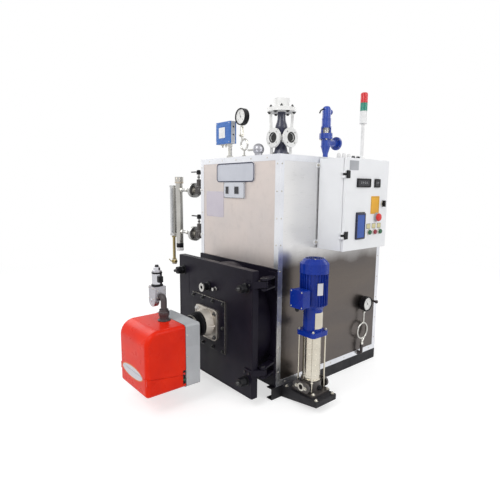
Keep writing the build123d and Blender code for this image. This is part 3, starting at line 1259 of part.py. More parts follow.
# Green and red lenses stacked on the light tower
with BuildPart() as light_lenses:
    with BuildSketch(Plane.XY.offset(LIGHT_GREEN_Z)):
        with Locations((LIGHT_X, LIGHT_Y)):
            Circle(LIGHT_RADIUS)
    extrude(amount=LIGHT_LENS_HEIGHT - SEAT_GAP)
    with BuildSketch(Plane.XY.offset(LIGHT_RED_Z)):
        with Locations((LIGHT_X, LIGHT_Y)):
            Circle(LIGHT_RADIUS)
    extrude(amount=LIGHT_LENS_HEIGHT + LIGHT_CAP_HEIGHT)
    fillet(light_lenses.faces().sort_by(Axis.Z)[-1].edges(), LIGHT_CAP_HEIGHT)
light_lenses.part.label = "light_lenses"
export_step(light_lenses.part, "parts/light_lenses.step")

# Level gauge: chamber with its cap, band and lower pipe
with BuildPart() as level_chamber:
    with BuildSketch(Plane.XY.offset(LEVEL_CHAMBER_BOTTOM)):
        with Locations((LEVEL_CHAMBER_X, LEVEL_Y)):
            Circle(LEVEL_CHAMBER_RADIUS)
    extrude(amount=LEVEL_CHAMBER_TOP - LEVEL_CHAMBER_BOTTOM)
    with BuildSketch(Plane.XY.offset(LEVEL_CHAMBER_TOP)):
        with Locations((LEVEL_CHAMBER_X, LEVEL_Y)):
            Circle(LEVEL_CAP_RADIUS)
    extrude(amount=LEVEL_CAP_HEIGHT)
    with BuildSketch(Plane.XY.offset(LEVEL_CHAMBER_BOTTOM)):
        with Locations((LEVEL_CHAMBER_X, LEVEL_Y)):
            Circle(DRAIN_BAND_RADIUS)
    extrude(amount=LEVEL_CAP_HEIGHT)
level_chamber.part.label = "level_chamber"
export_step(level_chamber.part, "parts/level_chamber.step")

# Indicator rail clamped to the chamber, with its drain tube and valve below
with BuildPart() as level_rail:
    with BuildSketch(Plane.XY.offset(LEVEL_RAIL_BOTTOM)):
        with Locations((LEVEL_RAIL_X, LEVEL_Y)):
            RectangleRounded(LEVEL_RAIL_WIDTH, LEVEL_RAIL_DEPTH, LEVEL_RAIL_CORNER)
    extrude(amount=LEVEL_RAIL_TOP - LEVEL_RAIL_BOTTOM)
    for z in (LEVEL_RAIL_BOTTOM, LEVEL_RAIL_TOP - 2 * LEVEL_ARM_RADIUS):
        with BuildSketch(Plane.XY.offset(z)):
            with Locations(((LEVEL_RAIL_X + LEVEL_CHAMBER_X) / 2, LEVEL_Y)):
                Rectangle(LEVEL_CHAMBER_X - LEVEL_RAIL_X, LEVEL_RAIL_DEPTH / 2)
            with Locations((LEVEL_CHAMBER_X, LEVEL_Y)):
                Circle(LEVEL_CHAMBER_RADIUS + SEAT_GAP, mode=Mode.SUBTRACT)
        extrude(amount=2 * LEVEL_ARM_RADIUS)
    with BuildSketch(Plane.XY.offset(LEVEL_RAIL_BOTTOM)):
        with Locations((LEVEL_RAIL_X, LEVEL_Y)):
            Circle(DRAIN_TUBE_RADIUS)
    extrude(amount=-(LEVEL_RAIL_BOTTOM - DRAIN_BOTTOM - DRAIN_VALVE_SIZE))
    with BuildSketch(Plane.XY.offset(DRAIN_BOTTOM)):
        with Locations((LEVEL_RAIL_X, LEVEL_Y)):
            RegularPolygon(DRAIN_VALVE_SIZE / 2, 6)
    extrude(amount=DRAIN_VALVE_SIZE)
level_rail.part.label = "level_rail"
export_step(level_rail.part, "parts/level_rail.step")

# Level cocks on the left side: connecting pipes, flanges, bodies and stems
arm_length = -SIDE_X - LEVEL_CHAMBER_X - LEVEL_CHAMBER_RADIUS
with BuildPart() as level_cocks:
    for z in (LEVEL_LOWER_Z, LEVEL_UPPER_Z):
        with BuildSketch(Plane.YZ.offset(-SIDE_X)):
            with Locations((LEVEL_Y, z)):
                Circle(LEVEL_ARM_RADIUS)
        extrude(amount=-arm_length)
        with BuildSketch(Plane.YZ.offset(-SIDE_X)):
            with Locations((LEVEL_Y, z)):
                Circle(LEVEL_BOSS_RADIUS)
        extrude(amount=-LEVEL_FLANGE_THICKNESS)
        with BuildSketch(Plane.YZ.offset(LEVEL_FLANGE_X)):
            with Locations((LEVEL_Y, z)):
                Circle(LEVEL_FLANGE_RADIUS)
        extrude(amount=2 * LEVEL_FLANGE_THICKNESS)
        with BuildSketch(Plane.XY.offset(z - LEVEL_COCK_RADIUS)):
            with Locations((LEVEL_COCK_X, LEVEL_Y)):
                Circle(LEVEL_COCK_RADIUS)
        extrude(amount=2 * LEVEL_COCK_RADIUS)
        with BuildSketch(Plane.XY.offset(z)):
            with Locations((LEVEL_COCK_X, LEVEL_Y)):
                Circle(LEVEL_GLAND_RADIUS)
        extrude(amount=LEVEL_GLAND_HEIGHT)
        with BuildSketch(Plane.XY.offset(z)):
            with Locations((LEVEL_COCK_X, LEVEL_Y)):
                Circle(LEVEL_STEM_RADIUS)
        extrude(amount=LEVEL_STEM_TOP)
level_cocks.part.label = "level_cocks"
export_step(level_cocks.part, "parts/level_cocks.step")


def cock_lever(cock_z):
    """A flat lever on a blind hub that turns on the stem of a level cock."""
    hub_z = cock_z + LEVEL_STEM_TOP - LEVER_HUB_HEIGHT + LEVER_THICKNESS
    with BuildPart() as lever:
        with BuildSketch(Plane.XY.offset(hub_z)):
            with Locations((LEVEL_COCK_X, LEVEL_Y)):
                Circle(LEVER_HUB_RADIUS)
        extrude(amount=LEVER_HUB_HEIGHT)
        with BuildSketch(Plane.XY.offset(hub_z + LEVER_HUB_HEIGHT - LEVER_THICKNESS)):
            with Locations((LEVEL_COCK_X - LEVER_LENGTH / 2, LEVEL_Y)):
                SlotCenterToCenter(LEVER_LENGTH, LEVER_WIDTH)
        extrude(amount=LEVER_THICKNESS)
        with BuildSketch(Plane.XY.offset(hub_z)):
            with Locations((LEVEL_COCK_X, LEVEL_Y)):
                Circle(LEVEL_STEM_RADIUS + PIN_CLEARANCE)
        extrude(amount=LEVER_HUB_HEIGHT - LEVER_THICKNESS + SEAT_GAP, mode=Mode.SUBTRACT)
    return lever


upper_cock_lever = cock_lever(LEVEL_UPPER_Z)
upper_cock_lever.part.label = "upper_cock_lever"
export_step(upper_cock_lever.part, "parts/upper_cock_lever.step")

lower_cock_lever = cock_lever(LEVEL_LOWER_Z)
lower_cock_lever.part.label = "lower_cock_lever"
export_step(lower_cock_lever.part, "parts/lower_cock_lever.step")

# Pressure switch: box with a stepped cover, on its pipe
with BuildPart() as pressure_switch:
    with BuildSketch(Plane.XY.offset(TOP_Z + SWITCH_BOX_BOTTOM)):
        with Locations((SWITCH_BOX_X, SWITCH_BOX_Y)):
            RectangleRounded(SWITCH_BOX_WIDTH, SWITCH_BOX_DEPTH, SWITCH_BOX_CORNER)
    extrude(amount=SWITCH_BOX_HEIGHT)
    groove_middle = SWITCH_BOX_Y + (SWITCH_BOX_COVER - SWITCH_BOX_BACK) / 2
    with BuildSketch(Plane.XY.offset(TOP_Z + SWITCH_BOX_BOTTOM)):
        with Locations((SWITCH_BOX_X, groove_middle)):
            Rectangle(2 * SWITCH_BOX_WIDTH, SWITCH_BOX_DEPTH - SWITCH_BOX_COVER - SWITCH_BOX_BACK)
            Rectangle(
                SWITCH_BOX_WIDTH - 2 * SWITCH_BOX_STEP,
                SWITCH_BOX_DEPTH - SWITCH_BOX_COVER - SWITCH_BOX_BACK,
                mode=Mode.SUBTRACT,
            )
    extrude(amount=SWITCH_BOX_HEIGHT, mode=Mode.SUBTRACT)
pressure_switch.part.label = "pressure_switch"
export_step(pressure_switch.part, "parts/pressure_switch.step")

def siphon(ring_plane, ring_radius, stem_offset, foot_z, top_z):
    """A ring of tube in a plane, on a nut and a short foot, with a stem up to its gauge."""
    centre = ring_plane.origin
    stem = centre + ring_plane.x_dir * stem_offset
    ring_top = centre.Z + math.sqrt(ring_radius**2 - stem_offset**2)
    with BuildPart() as tube:
        with Locations(ring_plane):
            Torus(ring_radius, SIPHON_TUBE_RADIUS)
        with BuildSketch(Plane.XY.offset(foot_z)):
            with Locations((centre.X, centre.Y)):
                Circle(SIPHON_STEM_RADIUS)
        extrude(amount=centre.Z - ring_radius - foot_z)
        with BuildSketch(Plane.XY.offset(ring_top)):
            with Locations((stem.X, stem.Y)):
                Circle(SIPHON_STEM_RADIUS)
        extrude(amount=top_z - ring_top)
        with BuildSketch(Plane.XY.offset(foot_z)):
            with Locations((centre.X, centre.Y)):
                RegularPolygon(SIPHON_NUT_RADIUS, 6)
        extrude(amount=SIPHON_NUT_RADIUS)
    return tube


steam_ring_plane = Plane(
    origin=(GAUGE_X + SIPHON_STEM_OFFSET, GAUGE_Y, TOP_Z + SIPHON_LOOP_CENTRE),
    x_dir=(1, 0, 0),
    z_dir=(0, -1, 0),
)
steam_gauge_siphon = siphon(
    steam_ring_plane,
    SIPHON_LOOP_RADIUS,
    -SIPHON_STEM_OFFSET,
    TOP_Z,
    TOP_Z + GAUGE_CENTRE - GAUGE_RADIUS,
)

# Feed gauge siphon, on the riser of the feed inlet
feed_stem_y = FEED_GAUGE_Y - FEED_STEM_OFFSET
feed_stem_edge = FEED_STEM_OFFSET - SIPHON_STEM_RADIUS
feed_stem_top = FEED_GAUGE_Z - math.sqrt(FEED_GAUGE_RADIUS**2 - feed_stem_edge**2)
feed_ring_plane = Plane(
    origin=(FEED_X, FEED_Y, FEED_SIPHON_CENTRE),
    x_dir=(0, 1, 0),
    z_dir=(1, 0, 0),
)
feed_gauge_siphon = siphon(
    feed_ring_plane,
    FEED_SIPHON_RADIUS,
    feed_stem_y - FEED_Y,
    FEED_RISER_TOP,
    feed_stem_top,
)

# Bright pipework: both siphons and the pressure switch's pipe
with BuildPart() as gauge_pipework:
    add(steam_gauge_siphon.part)
    add(feed_gauge_siphon.part)
    with BuildSketch(Plane.XY.offset(TOP_Z)):
        with Locations((SWITCH_PIPE_X, SWITCH_BOX_Y)):
            Circle(SWITCH_PIPE_RADIUS)
    extrude(amount=SWITCH_BOX_BOTTOM)
    with BuildSketch(Plane.XY.offset(TOP_Z)):
        with Locations((SWITCH_PIPE_X, SWITCH_BOX_Y)):
            RegularPolygon(SWITCH_PIPE_NUT_RADIUS, 6)
    extrude(amount=SWITCH_PIPE_RADIUS)
gauge_pipework.part.label = "gauge_pipework"
export_step(gauge_pipework.part, "parts/gauge_pipework.step")


def dial_gauge(face_plane, radius):
    """A round case whose dial is sunk behind a bezel, its middle on the plane's origin."""
    with BuildPart() as case:
        with BuildSketch(face_plane.offset(GAUGE_DEPTH / 2)):
            Circle(radius)
        extrude(amount=-GAUGE_DEPTH)
        with BuildSketch(face_plane.offset(GAUGE_DEPTH / 2)):
            Circle(radius - GAUGE_BEZEL)
        extrude(amount=-GAUGE_FACE_DEPTH, mode=Mode.SUBTRACT)
    return case


# Steam gauge facing the front and feed gauge facing right
steam_dial = dial_gauge(
    Plane(origin=(GAUGE_X, GAUGE_Y, TOP_Z + GAUGE_CENTRE), x_dir=(1, 0, 0), z_dir=(0, -1, 0)), GAUGE_RADIUS
)
feed_dial = dial_gauge(
    Plane(origin=(FEED_X, FEED_GAUGE_Y, FEED_GAUGE_Z), x_dir=(0, 1, 0), z_dir=(1, 0, 0)), FEED_GAUGE_RADIUS
)
with BuildPart() as pressure_gauges:
    add(steam_dial.part)
    add(feed_dial.part)
pressure_gauges.part.label = "pressure_gauges"
export_step(pressure_gauges.part, "parts/pressure_gauges.step")

# Domed probe head
with BuildPart() as probe_head:
    with BuildSketch(Plane.XY.offset(TOP_Z)):
        with Locations((PROBE_X, PROBE_Y)):
            Circle(PROBE_BASE_RADIUS)
    extrude(amount=PROBE_CENTRE)
    with Locations((PROBE_X, PROBE_Y, TOP_Z + PROBE_CENTRE)):
        Sphere(PROBE_RADIUS)
probe_head.part.label = "probe_head"
export_step(probe_head.part, "parts/probe_head.step")

# Steam valve: waisted body with a flanged port to the front and one to the right
valve_centre_z = TOP_Z + VALVE_CENTRE
with BuildPart() as steam_valve_body:
    with BuildSketch(Plane.XZ.offset(-VALVE_Y)):
        with BuildLine():
            Polyline(
                (VALVE_X, TOP_Z),
                (VALVE_X + VALVE_FOOT_RADIUS, TOP_Z),
                (VALVE_X + VALVE_FOOT_RADIUS, TOP_Z + VALVE_FOOT_THICKNESS),
                (VALVE_X + VALVE_CORE_RADIUS, TOP_Z + VALVE_FOOT_THICKNESS),
                (VALVE_X + VALVE_WAIST_RADIUS, valve_centre_z - VALVE_WAIST_RADIUS),
                (VALVE_X + VALVE_WAIST_RADIUS, valve_centre_z + VALVE_WAIST_RADIUS),
                (VALVE_X + VALVE_CORE_RADIUS, TOP_Z + VALVE_NECK_TOP),
                (VALVE_X, TOP_Z + VALVE_NECK_TOP),
                close=True,
            )
        make_face()
    revolve(axis=Axis((VALVE_X, VALVE_Y, 0), (0, 0, 1)))
steam_valve_body.part.label = "steam_valve_body"
export_step(steam_valve_body.part, "parts/steam_valve_body.step")


def flanged_port(plane, start, reach, flange, pipe_radius, bore, bolts):
    """A short pipe along the normal of its plane, ending in a drilled flange."""
    flange_radius, flange_thickness = flange
    bolt_circle, bolt_radius, bolt_count = bolts
    with BuildPart() as port:
        with BuildSketch(plane.offset(start)):
            Circle(pipe_radius)
        extrude(amount=reach - start)
        with BuildSketch(plane.offset(reach)):
            Circle(flange_radius)
            with PolarLocations(bolt_circle / 2, bolt_count, start_angle=180 / bolt_count):
                Circle(bolt_radius, mode=Mode.SUBTRACT)
        extrude(amount=-flange_thickness)
        with BuildSketch(plane.offset(reach)):
            Circle(bore)
        extrude(amount=-2 * flange_thickness, mode=Mode.SUBTRACT)
    return port


valve_port_start = VALVE_WAIST_RADIUS + SEAT_GAP
valve_front_port = flanged_port(
    Plane(origin=(VALVE_X, VALVE_Y, valve_centre_z), z_dir=(0, -1, 0)),
    valve_port_start,
    VALVE_FRONT_REACH,
    (VALVE_PORT_RADIUS, VALVE_PORT_FLANGE),
    VALVE_PORT_PIPE,
    VALVE_PORT_BORE,
    (VALVE_PORT_BOLT_CIRCLE, VALVE_PORT_BOLT_RADIUS, VALVE_PORT_BOLTS),
)
valve_right_port = flanged_port(
    Plane(origin=(VALVE_X, VALVE_Y, valve_centre_z), z_dir=(1, 0, 0)),
    valve_port_start,
    VALVE_PORT_REACH,
    (VALVE_PORT_RADIUS, VALVE_PORT_FLANGE),
    VALVE_PORT_PIPE,
    VALVE_PORT_BORE,
    (VALVE_PORT_BOLT_CIRCLE, VALVE_PORT_BOLT_RADIUS, VALVE_PORT_BOLTS),
)

# White pieces of the steam valve: two ports, and the bonnet with its plate and cap
with BuildPart() as steam_valve_bonnet:
    add(valve_front_port.part)
    add(valve_right_port.part)
    with BuildSketch(Plane.XY.offset(TOP_Z + BONNET_PLATE_Z)):
        with Locations((VALVE_X, VALVE_Y)):
            Circle(BONNET_PLATE_RADIUS)
    extrude(amount=BONNET_PLATE_THICKNESS)
    with BuildSketch(Plane.XY.offset(TOP_Z + BONNET_PLATE_Z + BONNET_PLATE_THICKNESS)):
        with Locations((VALVE_X, VALVE_Y)):
            Circle(BONNET_CAP_RADIUS)
    extrude(amount=BONNET_CAP_HEIGHT)
    with BuildSketch(Plane.XY.offset(TOP_Z + VALVE_NECK_TOP)):
        with Locations((VALVE_X, VALVE_Y)):
            Circle(VALVE_CORE_RADIUS / 2)
    extrude(amount=BONNET_PLATE_Z - VALVE_NECK_TOP)
    leg_top_z = TOP_Z + BONNET_PLATE_Z + BONNET_PLATE_THICKNESS / 2
    for side in (-1, 1):
        with BuildSketch(Plane(origin=(VALVE_X, VALVE_Y, 0), x_dir=LEG_DIRECTION, z_dir=LEG_NORMAL)):
            with BuildLine():
                Polyline(
                    (side * BONNET_LEG_FOOT, TOP_Z + VALVE_FOOT_THICKNESS),
                    (side * (BONNET_LEG_FOOT + BONNET_LEG_WIDTH), TOP_Z + VALVE_FOOT_THICKNESS),
                    (side * (BONNET_LEG_TOP + BONNET_LEG_WIDTH), leg_top_z),
                    (side * BONNET_LEG_TOP, leg_top_z),
                    close=True,
                )
            make_face()
        extrude(amount=BONNET_LEG_THICKNESS / 2, both=True)
steam_valve_bonnet.part.label = "steam_valve_bonnet"
export_step(steam_valve_bonnet.part, "parts/steam_valve_bonnet.step")

# Safety valve body: tapered inlet, round chamber, top flange, and its outlet to the rear
safety_outlet = flanged_port(
    Plane(origin=(SAFETY_X, SAFETY_Y, TOP_Z + SAFETY_OUTLET_Z), z_dir=(0, 1, 0)),
    0,
    SAFETY_OUTLET_REACH,
    (SAFETY_OUTLET_RADIUS, SAFETY_OUTLET_FLANGE),
    SAFETY_OUTLET_PIPE,
    SAFETY_OUTLET_BORE,
    (SAFETY_BOLT_CIRCLE, SAFETY_BOLT_RADIUS, SAFETY_BOLTS),
)
with BuildPart() as safety_valve_body:
    with BuildSketch(Plane.XZ.offset(-SAFETY_Y)):
        with BuildLine():
            Polyline(
                (SAFETY_X, TOP_Z),
                (SAFETY_X + SAFETY_INLET_RADIUS, TOP_Z),
                (SAFETY_X + SAFETY_INLET_RADIUS, TOP_Z + SAFETY_INLET_TOP),
                (SAFETY_X + SAFETY_BODY_RADIUS, TOP_Z + SAFETY_BODY_BOTTOM),
                (SAFETY_X + SAFETY_BODY_RADIUS, TOP_Z + SAFETY_FLANGE_Z),
                (SAFETY_X + SAFETY_FLANGE_RADIUS, TOP_Z + SAFETY_FLANGE_Z),
                (SAFETY_X + SAFETY_FLANGE_RADIUS, TOP_Z + SAFETY_FLANGE_Z + SAFETY_FLANGE_THICKNESS),
                (SAFETY_X, TOP_Z + SAFETY_FLANGE_Z + SAFETY_FLANGE_THICKNESS),
                close=True,
            )
        make_face()
    revolve(axis=Axis((SAFETY_X, SAFETY_Y, 0), (0, 0, 1)))
    add(safety_outlet.part)
safety_valve_body.part.label = "safety_valve_body"
export_step(safety_valve_body.part, "parts/safety_valve_body.step")

# Safety valve bonnet: flange, neck, open yoke around the spindle, domed cap and lifting knob
bonnet_flange_z = TOP_Z + SAFETY_FLANGE_Z + SAFETY_FLANGE_THICKNESS
with BuildPart() as safety_valve_bonnet:
    with BuildSketch(Plane.XY.offset(bonnet_flange_z)):
        with Locations((SAFETY_X, SAFETY_Y)):
            Circle(SAFETY_FLANGE_RADIUS)
    extrude(amount=SAFETY_FLANGE_THICKNESS)
    with BuildSketch(Plane.XY.offset(bonnet_flange_z)):
        with Locations((SAFETY_X, SAFETY_Y)):
            Circle(SAFETY_NECK_RADIUS)
    extrude(amount=TOP_Z + SAFETY_NECK_TOP - bonnet_flange_z)
    with BuildSketch(Plane.XY.offset(TOP_Z + SAFETY_NECK_TOP)):
        with Locations((SAFETY_X, SAFETY_Y)):
            Circle(YOKE_RADIUS)
    extrude(amount=YOKE_BASE)
    with BuildSketch(Plane.XY.offset(TOP_Z + SAFETY_NECK_TOP)):
        with Locations((SAFETY_X, SAFETY_Y)):
            with GridLocations(2 * YOKE_SPREAD, 1, 2, 1):
                Rectangle(YOKE_LEG, YOKE_DEPTH)
            Circle(SPINDLE_RADIUS)
    extrude(amount=YOKE_TOP - SAFETY_NECK_TOP)
    with BuildSketch(Plane.XY.offset(TOP_Z + YOKE_TOP)):
        with Locations((SAFETY_X, SAFETY_Y)):
            Circle(CAP_RADIUS)
    extrude(amount=CAP_TOP - YOKE_TOP)
    fillet(safety_valve_bonnet.faces().sort_by(Axis.Z)[-1].edges(), CAP_DOME)
    with BuildSketch(Plane.XZ.offset(-SAFETY_Y)):
        with Locations((SAFETY_X, TOP_Z + CAP_KNOB_Z)):
            Circle(CAP_KNOB_RADIUS)
    extrude(amount=-CAP_KNOB_REACH)
safety_valve_bonnet.part.label = "safety_valve_bonnet"
export_step(safety_valve_bonnet.part, "parts/safety_valve_bonnet.step")

# Black pipework on the right side: the feed gauge's riser and a short stub near the rear
with BuildPart() as feed_pipework:
    with BuildLine():
        riser_route = FilletPolyline(
            (SIDE_X, FEED_Y, FEED_INLET_Z),
            (FEED_X, FEED_Y, FEED_INLET_Z),
            (FEED_X, FEED_Y, FEED_RISER_TOP),
            radius=FEED_BEND_RADIUS,
        )
    with BuildSketch(Plane(origin=riser_route @ 0, z_dir=riser_route % 0)):
        Circle(FEED_PIPE_RADIUS)
    sweep(path=riser_route)
    with BuildSketch(Plane.YZ.offset(PANEL_X)):
        with Locations((FEED_STUB_Y, FEED_STUB_Z)):
            Circle(FEED_STUB_RADIUS)
    extrude(amount=FEED_STUB_LENGTH)
feed_pipework.part.label = "feed_pipework"
export_step(feed_pipework.part, "parts/feed_pipework.step")
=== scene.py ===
import json
import math

import bmesh
import bpy
from mathutils import Matrix, Vector


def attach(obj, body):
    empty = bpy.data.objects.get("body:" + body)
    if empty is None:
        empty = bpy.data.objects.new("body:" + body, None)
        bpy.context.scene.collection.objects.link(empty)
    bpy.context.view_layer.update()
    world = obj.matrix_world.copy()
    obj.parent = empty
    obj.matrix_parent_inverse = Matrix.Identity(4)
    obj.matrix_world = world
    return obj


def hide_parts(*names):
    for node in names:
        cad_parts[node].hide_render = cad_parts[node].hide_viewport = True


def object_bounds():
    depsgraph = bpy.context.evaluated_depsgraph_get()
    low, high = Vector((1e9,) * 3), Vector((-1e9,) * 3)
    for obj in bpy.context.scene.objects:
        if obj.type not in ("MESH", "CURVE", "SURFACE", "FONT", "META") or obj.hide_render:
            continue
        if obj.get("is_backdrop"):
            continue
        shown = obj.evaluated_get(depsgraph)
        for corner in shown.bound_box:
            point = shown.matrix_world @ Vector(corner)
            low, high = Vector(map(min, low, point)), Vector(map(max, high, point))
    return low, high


# Looks of the packaged steam generator. Lengths of shapes are millimetres, turned into metres by MM.
MM = 0.001
FRONT, RIGHT, LEFT, REAR, UP, DOWN = (0, -1, 0), (1, 0, 0), (-1, 0, 0), (0, 1, 0), (0, 0, 1), (0, 0, -1)
STEAM, DOOR, PANEL = "generator", "furnace_door", "control_door"
EDGE_ANGLE = math.radians(32)
PLAIN = (1, 1, 1)

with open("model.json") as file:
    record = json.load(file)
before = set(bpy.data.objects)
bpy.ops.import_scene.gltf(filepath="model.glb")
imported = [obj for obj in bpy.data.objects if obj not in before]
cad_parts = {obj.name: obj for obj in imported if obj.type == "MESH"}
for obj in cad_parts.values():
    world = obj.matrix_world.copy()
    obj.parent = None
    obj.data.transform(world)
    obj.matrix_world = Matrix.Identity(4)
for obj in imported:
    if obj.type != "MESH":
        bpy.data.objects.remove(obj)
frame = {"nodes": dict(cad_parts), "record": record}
cad_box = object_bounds()

# Camera at the photograph's place, in millimetres, with its three unit axes
CAMERA_AT = (2338.2, -2398.8, 1389.7)
CAMERA_RIGHT = (0.64297, 0.76584, 0.00898)
CAMERA_UP = (-0.11750, 0.08705, 0.98925)
CAMERA_FORWARD = (-0.75683, 0.63711, -0.14595)
camera_data = bpy.data.cameras.new("camera")
camera_data.sensor_width = 36.0
camera_data.lens = 30.35
camera = bpy.data.objects.new("camera", camera_data)
bpy.context.scene.collection.objects.link(camera)
axes = [Vector(CAMERA_RIGHT), Vector(CAMERA_UP), -Vector(CAMERA_FORWARD)]
camera.matrix_world = Matrix.Translation(Vector(CAMERA_AT) * MM) @ Matrix(axes).transposed().to_4x4()
bpy.context.scene.camera = camera
bpy.context.scene.view_settings.view_transform = "Standard"


# Materials
def feed(tree, socket, value):
    """Link a node's output to a socket, or set the socket to a constant."""
    if isinstance(value, bpy.types.NodeSocket):
        tree.links.new(value, socket)
    else:
        socket.default_value = value


def wire(tree, kind, *inputs, **settings):
    """Add a node. Its first inputs are fed in order; lower-case settings are properties, others sockets."""
    node = tree.nodes.new("ShaderNode" + kind)
    for key, value in settings.items():
        if key.islower():
            setattr(node, key, value)
        else:
            feed(tree, node.inputs[key.replace("_", " ")], value)
    for socket, value in zip(node.inputs, inputs):
        feed(tree, socket, value)
    return node.outputs


class Shade:
    """A material and the nodes it is built from, all of them in the object's own coordinates."""

    def __init__(self, name, colour, metallic=0.0, rough=0.5):
        self.material = bpy.data.materials.new(name)
        self.material.use_nodes = True
        self.tree = self.material.node_tree
        self.shader = self.tree.nodes["Principled BSDF"]
        self.place = wire(self.tree, "TexCoord")["Object"]
        self.put("Base Color", (*colour, 1.0))
        self.put("Metallic", metallic)
        self.put("Roughness", rough)

    def put(self, socket, value):
        """Set a socket of the shader to a constant, or link a node's output to it."""
        feed(self.tree, self.shader.inputs[socket], value)

    def noise(self, scale, detail=3.0, stretch=PLAIN, soft=0.5):
        """Noise with about `scale` lumps per metre, drawn out along an axis by a small stretch there."""
        mapped = wire(self.tree, "Mapping", self.place, Scale=stretch)["Vector"]
        return wire(self.tree, "TexNoise", Vector=mapped, Scale=scale, Detail=detail, Roughness=soft)["Fac"]

    def spread(self, factor, low=0.0, high=1.0, start=0.3, end=0.7):
        """Turn a factor into numbers between low and high."""
        limits = {"From_Min": start, "From_Max": end, "To_Min": low, "To_Max": high}
        return wire(self.tree, "MapRange", factor, **limits)["Result"]

    def along(self, axis, start, end):
        """0 before start and 1 after end along an axis, in millimetres."""
        split = wire(self.tree, "SeparateXYZ", self.place)
        return self.spread(split[axis], 0.0, 1.0, start * MM, end * MM)

    def math(self, operation, first, second):
        """A sum, product or comparison of two outputs or numbers."""
        return wire(self.tree, "Math", first, second, operation=operation)["Value"]

    def mix(self, factor, first, second):
        """Blend two colours, each a tuple or an output."""
        node = self.tree.nodes.new("ShaderNodeMix")
        node.data_type = "RGBA"
        feed(self.tree, node.inputs[0], factor)
        for socket, value in ((node.inputs[6], first), (node.inputs[7], second)):
            feed(self.tree, socket, (*value, 1.0) if isinstance(value, tuple) else value)
        return node.outputs[2]

    def relief(self, height, depth, edge=0.0):
        """Bump of a depth in millimetres over edges that are rounded to the eye."""
        bump = {"Distance": depth * MM, "Strength": 1.0, "Height": height}
        if edge:
            bump["Normal"] = wire(self.tree, "Bevel", samples=4, Radius=edge * MM)["Normal"]
        self.put("Normal", wire(self.tree, "Bump", **bump)["Normal"])


def painted(name, colour, shade, rough=0.4, grain=900, depth=0.08, coat=0.0, edge=1.5, dust=None):
    """Paint with orange-peel relief, cloudy gloss and a slight change of colour."""
    paint = Shade(name, colour, 0.0, rough)
    tone = paint.mix(paint.spread(paint.noise(7, 5)), colour, shade)
    if dust:
        tone = paint.mix(paint.spread(paint.noise(38, 6, soft=0.7), 0.0, 0.5, 0.52, 0.8), tone, dust)
    paint.put("Base Color", tone)
    paint.put("Roughness", paint.spread(paint.noise(11, 4), rough * 0.8, rough * 1.25))
    if coat:
        paint.put("Coat Weight", coat)
        paint.put("Coat Roughness", 0.12)
    paint.relief(paint.noise(grain, 2), depth, edge)
    return paint


def metal(name, colour, shade, rough=0.3, stretch=PLAIN, grain=500, depth=0.03, edge=1.0):
    """Bare metal with a drawn-out grain."""
    bare = Shade(name, colour, 1.0, rough)
    bare.put("Base Color", bare.mix(bare.spread(bare.noise(5, 4)), colour, shade))
    streak = bare.noise(grain, 3, stretch)
    bare.put("Roughness", bare.spread(streak, rough * 0.75, rough * 1.3))
    bare.relief(streak, depth, edge)
    return bare


def moulded(name, colour, rough=0.35, grain=1500, depth=0.02, edge=0.8):
    """Moulded plastic: even colour, fine grain, and gloss that varies a little."""
    plastic = Shade(name, colour, 0.0, rough)
    darker = tuple(part * 0.86 for part in colour)
    plastic.put("Base Color", plastic.mix(plastic.spread(plastic.noise(16, 3)), colour, darker))
    plastic.put("Roughness", plastic.spread(plastic.noise(30, 3), rough * 0.85, rough * 1.2))
    plastic.relief(plastic.noise(grain, 2), depth, edge)
    return plastic


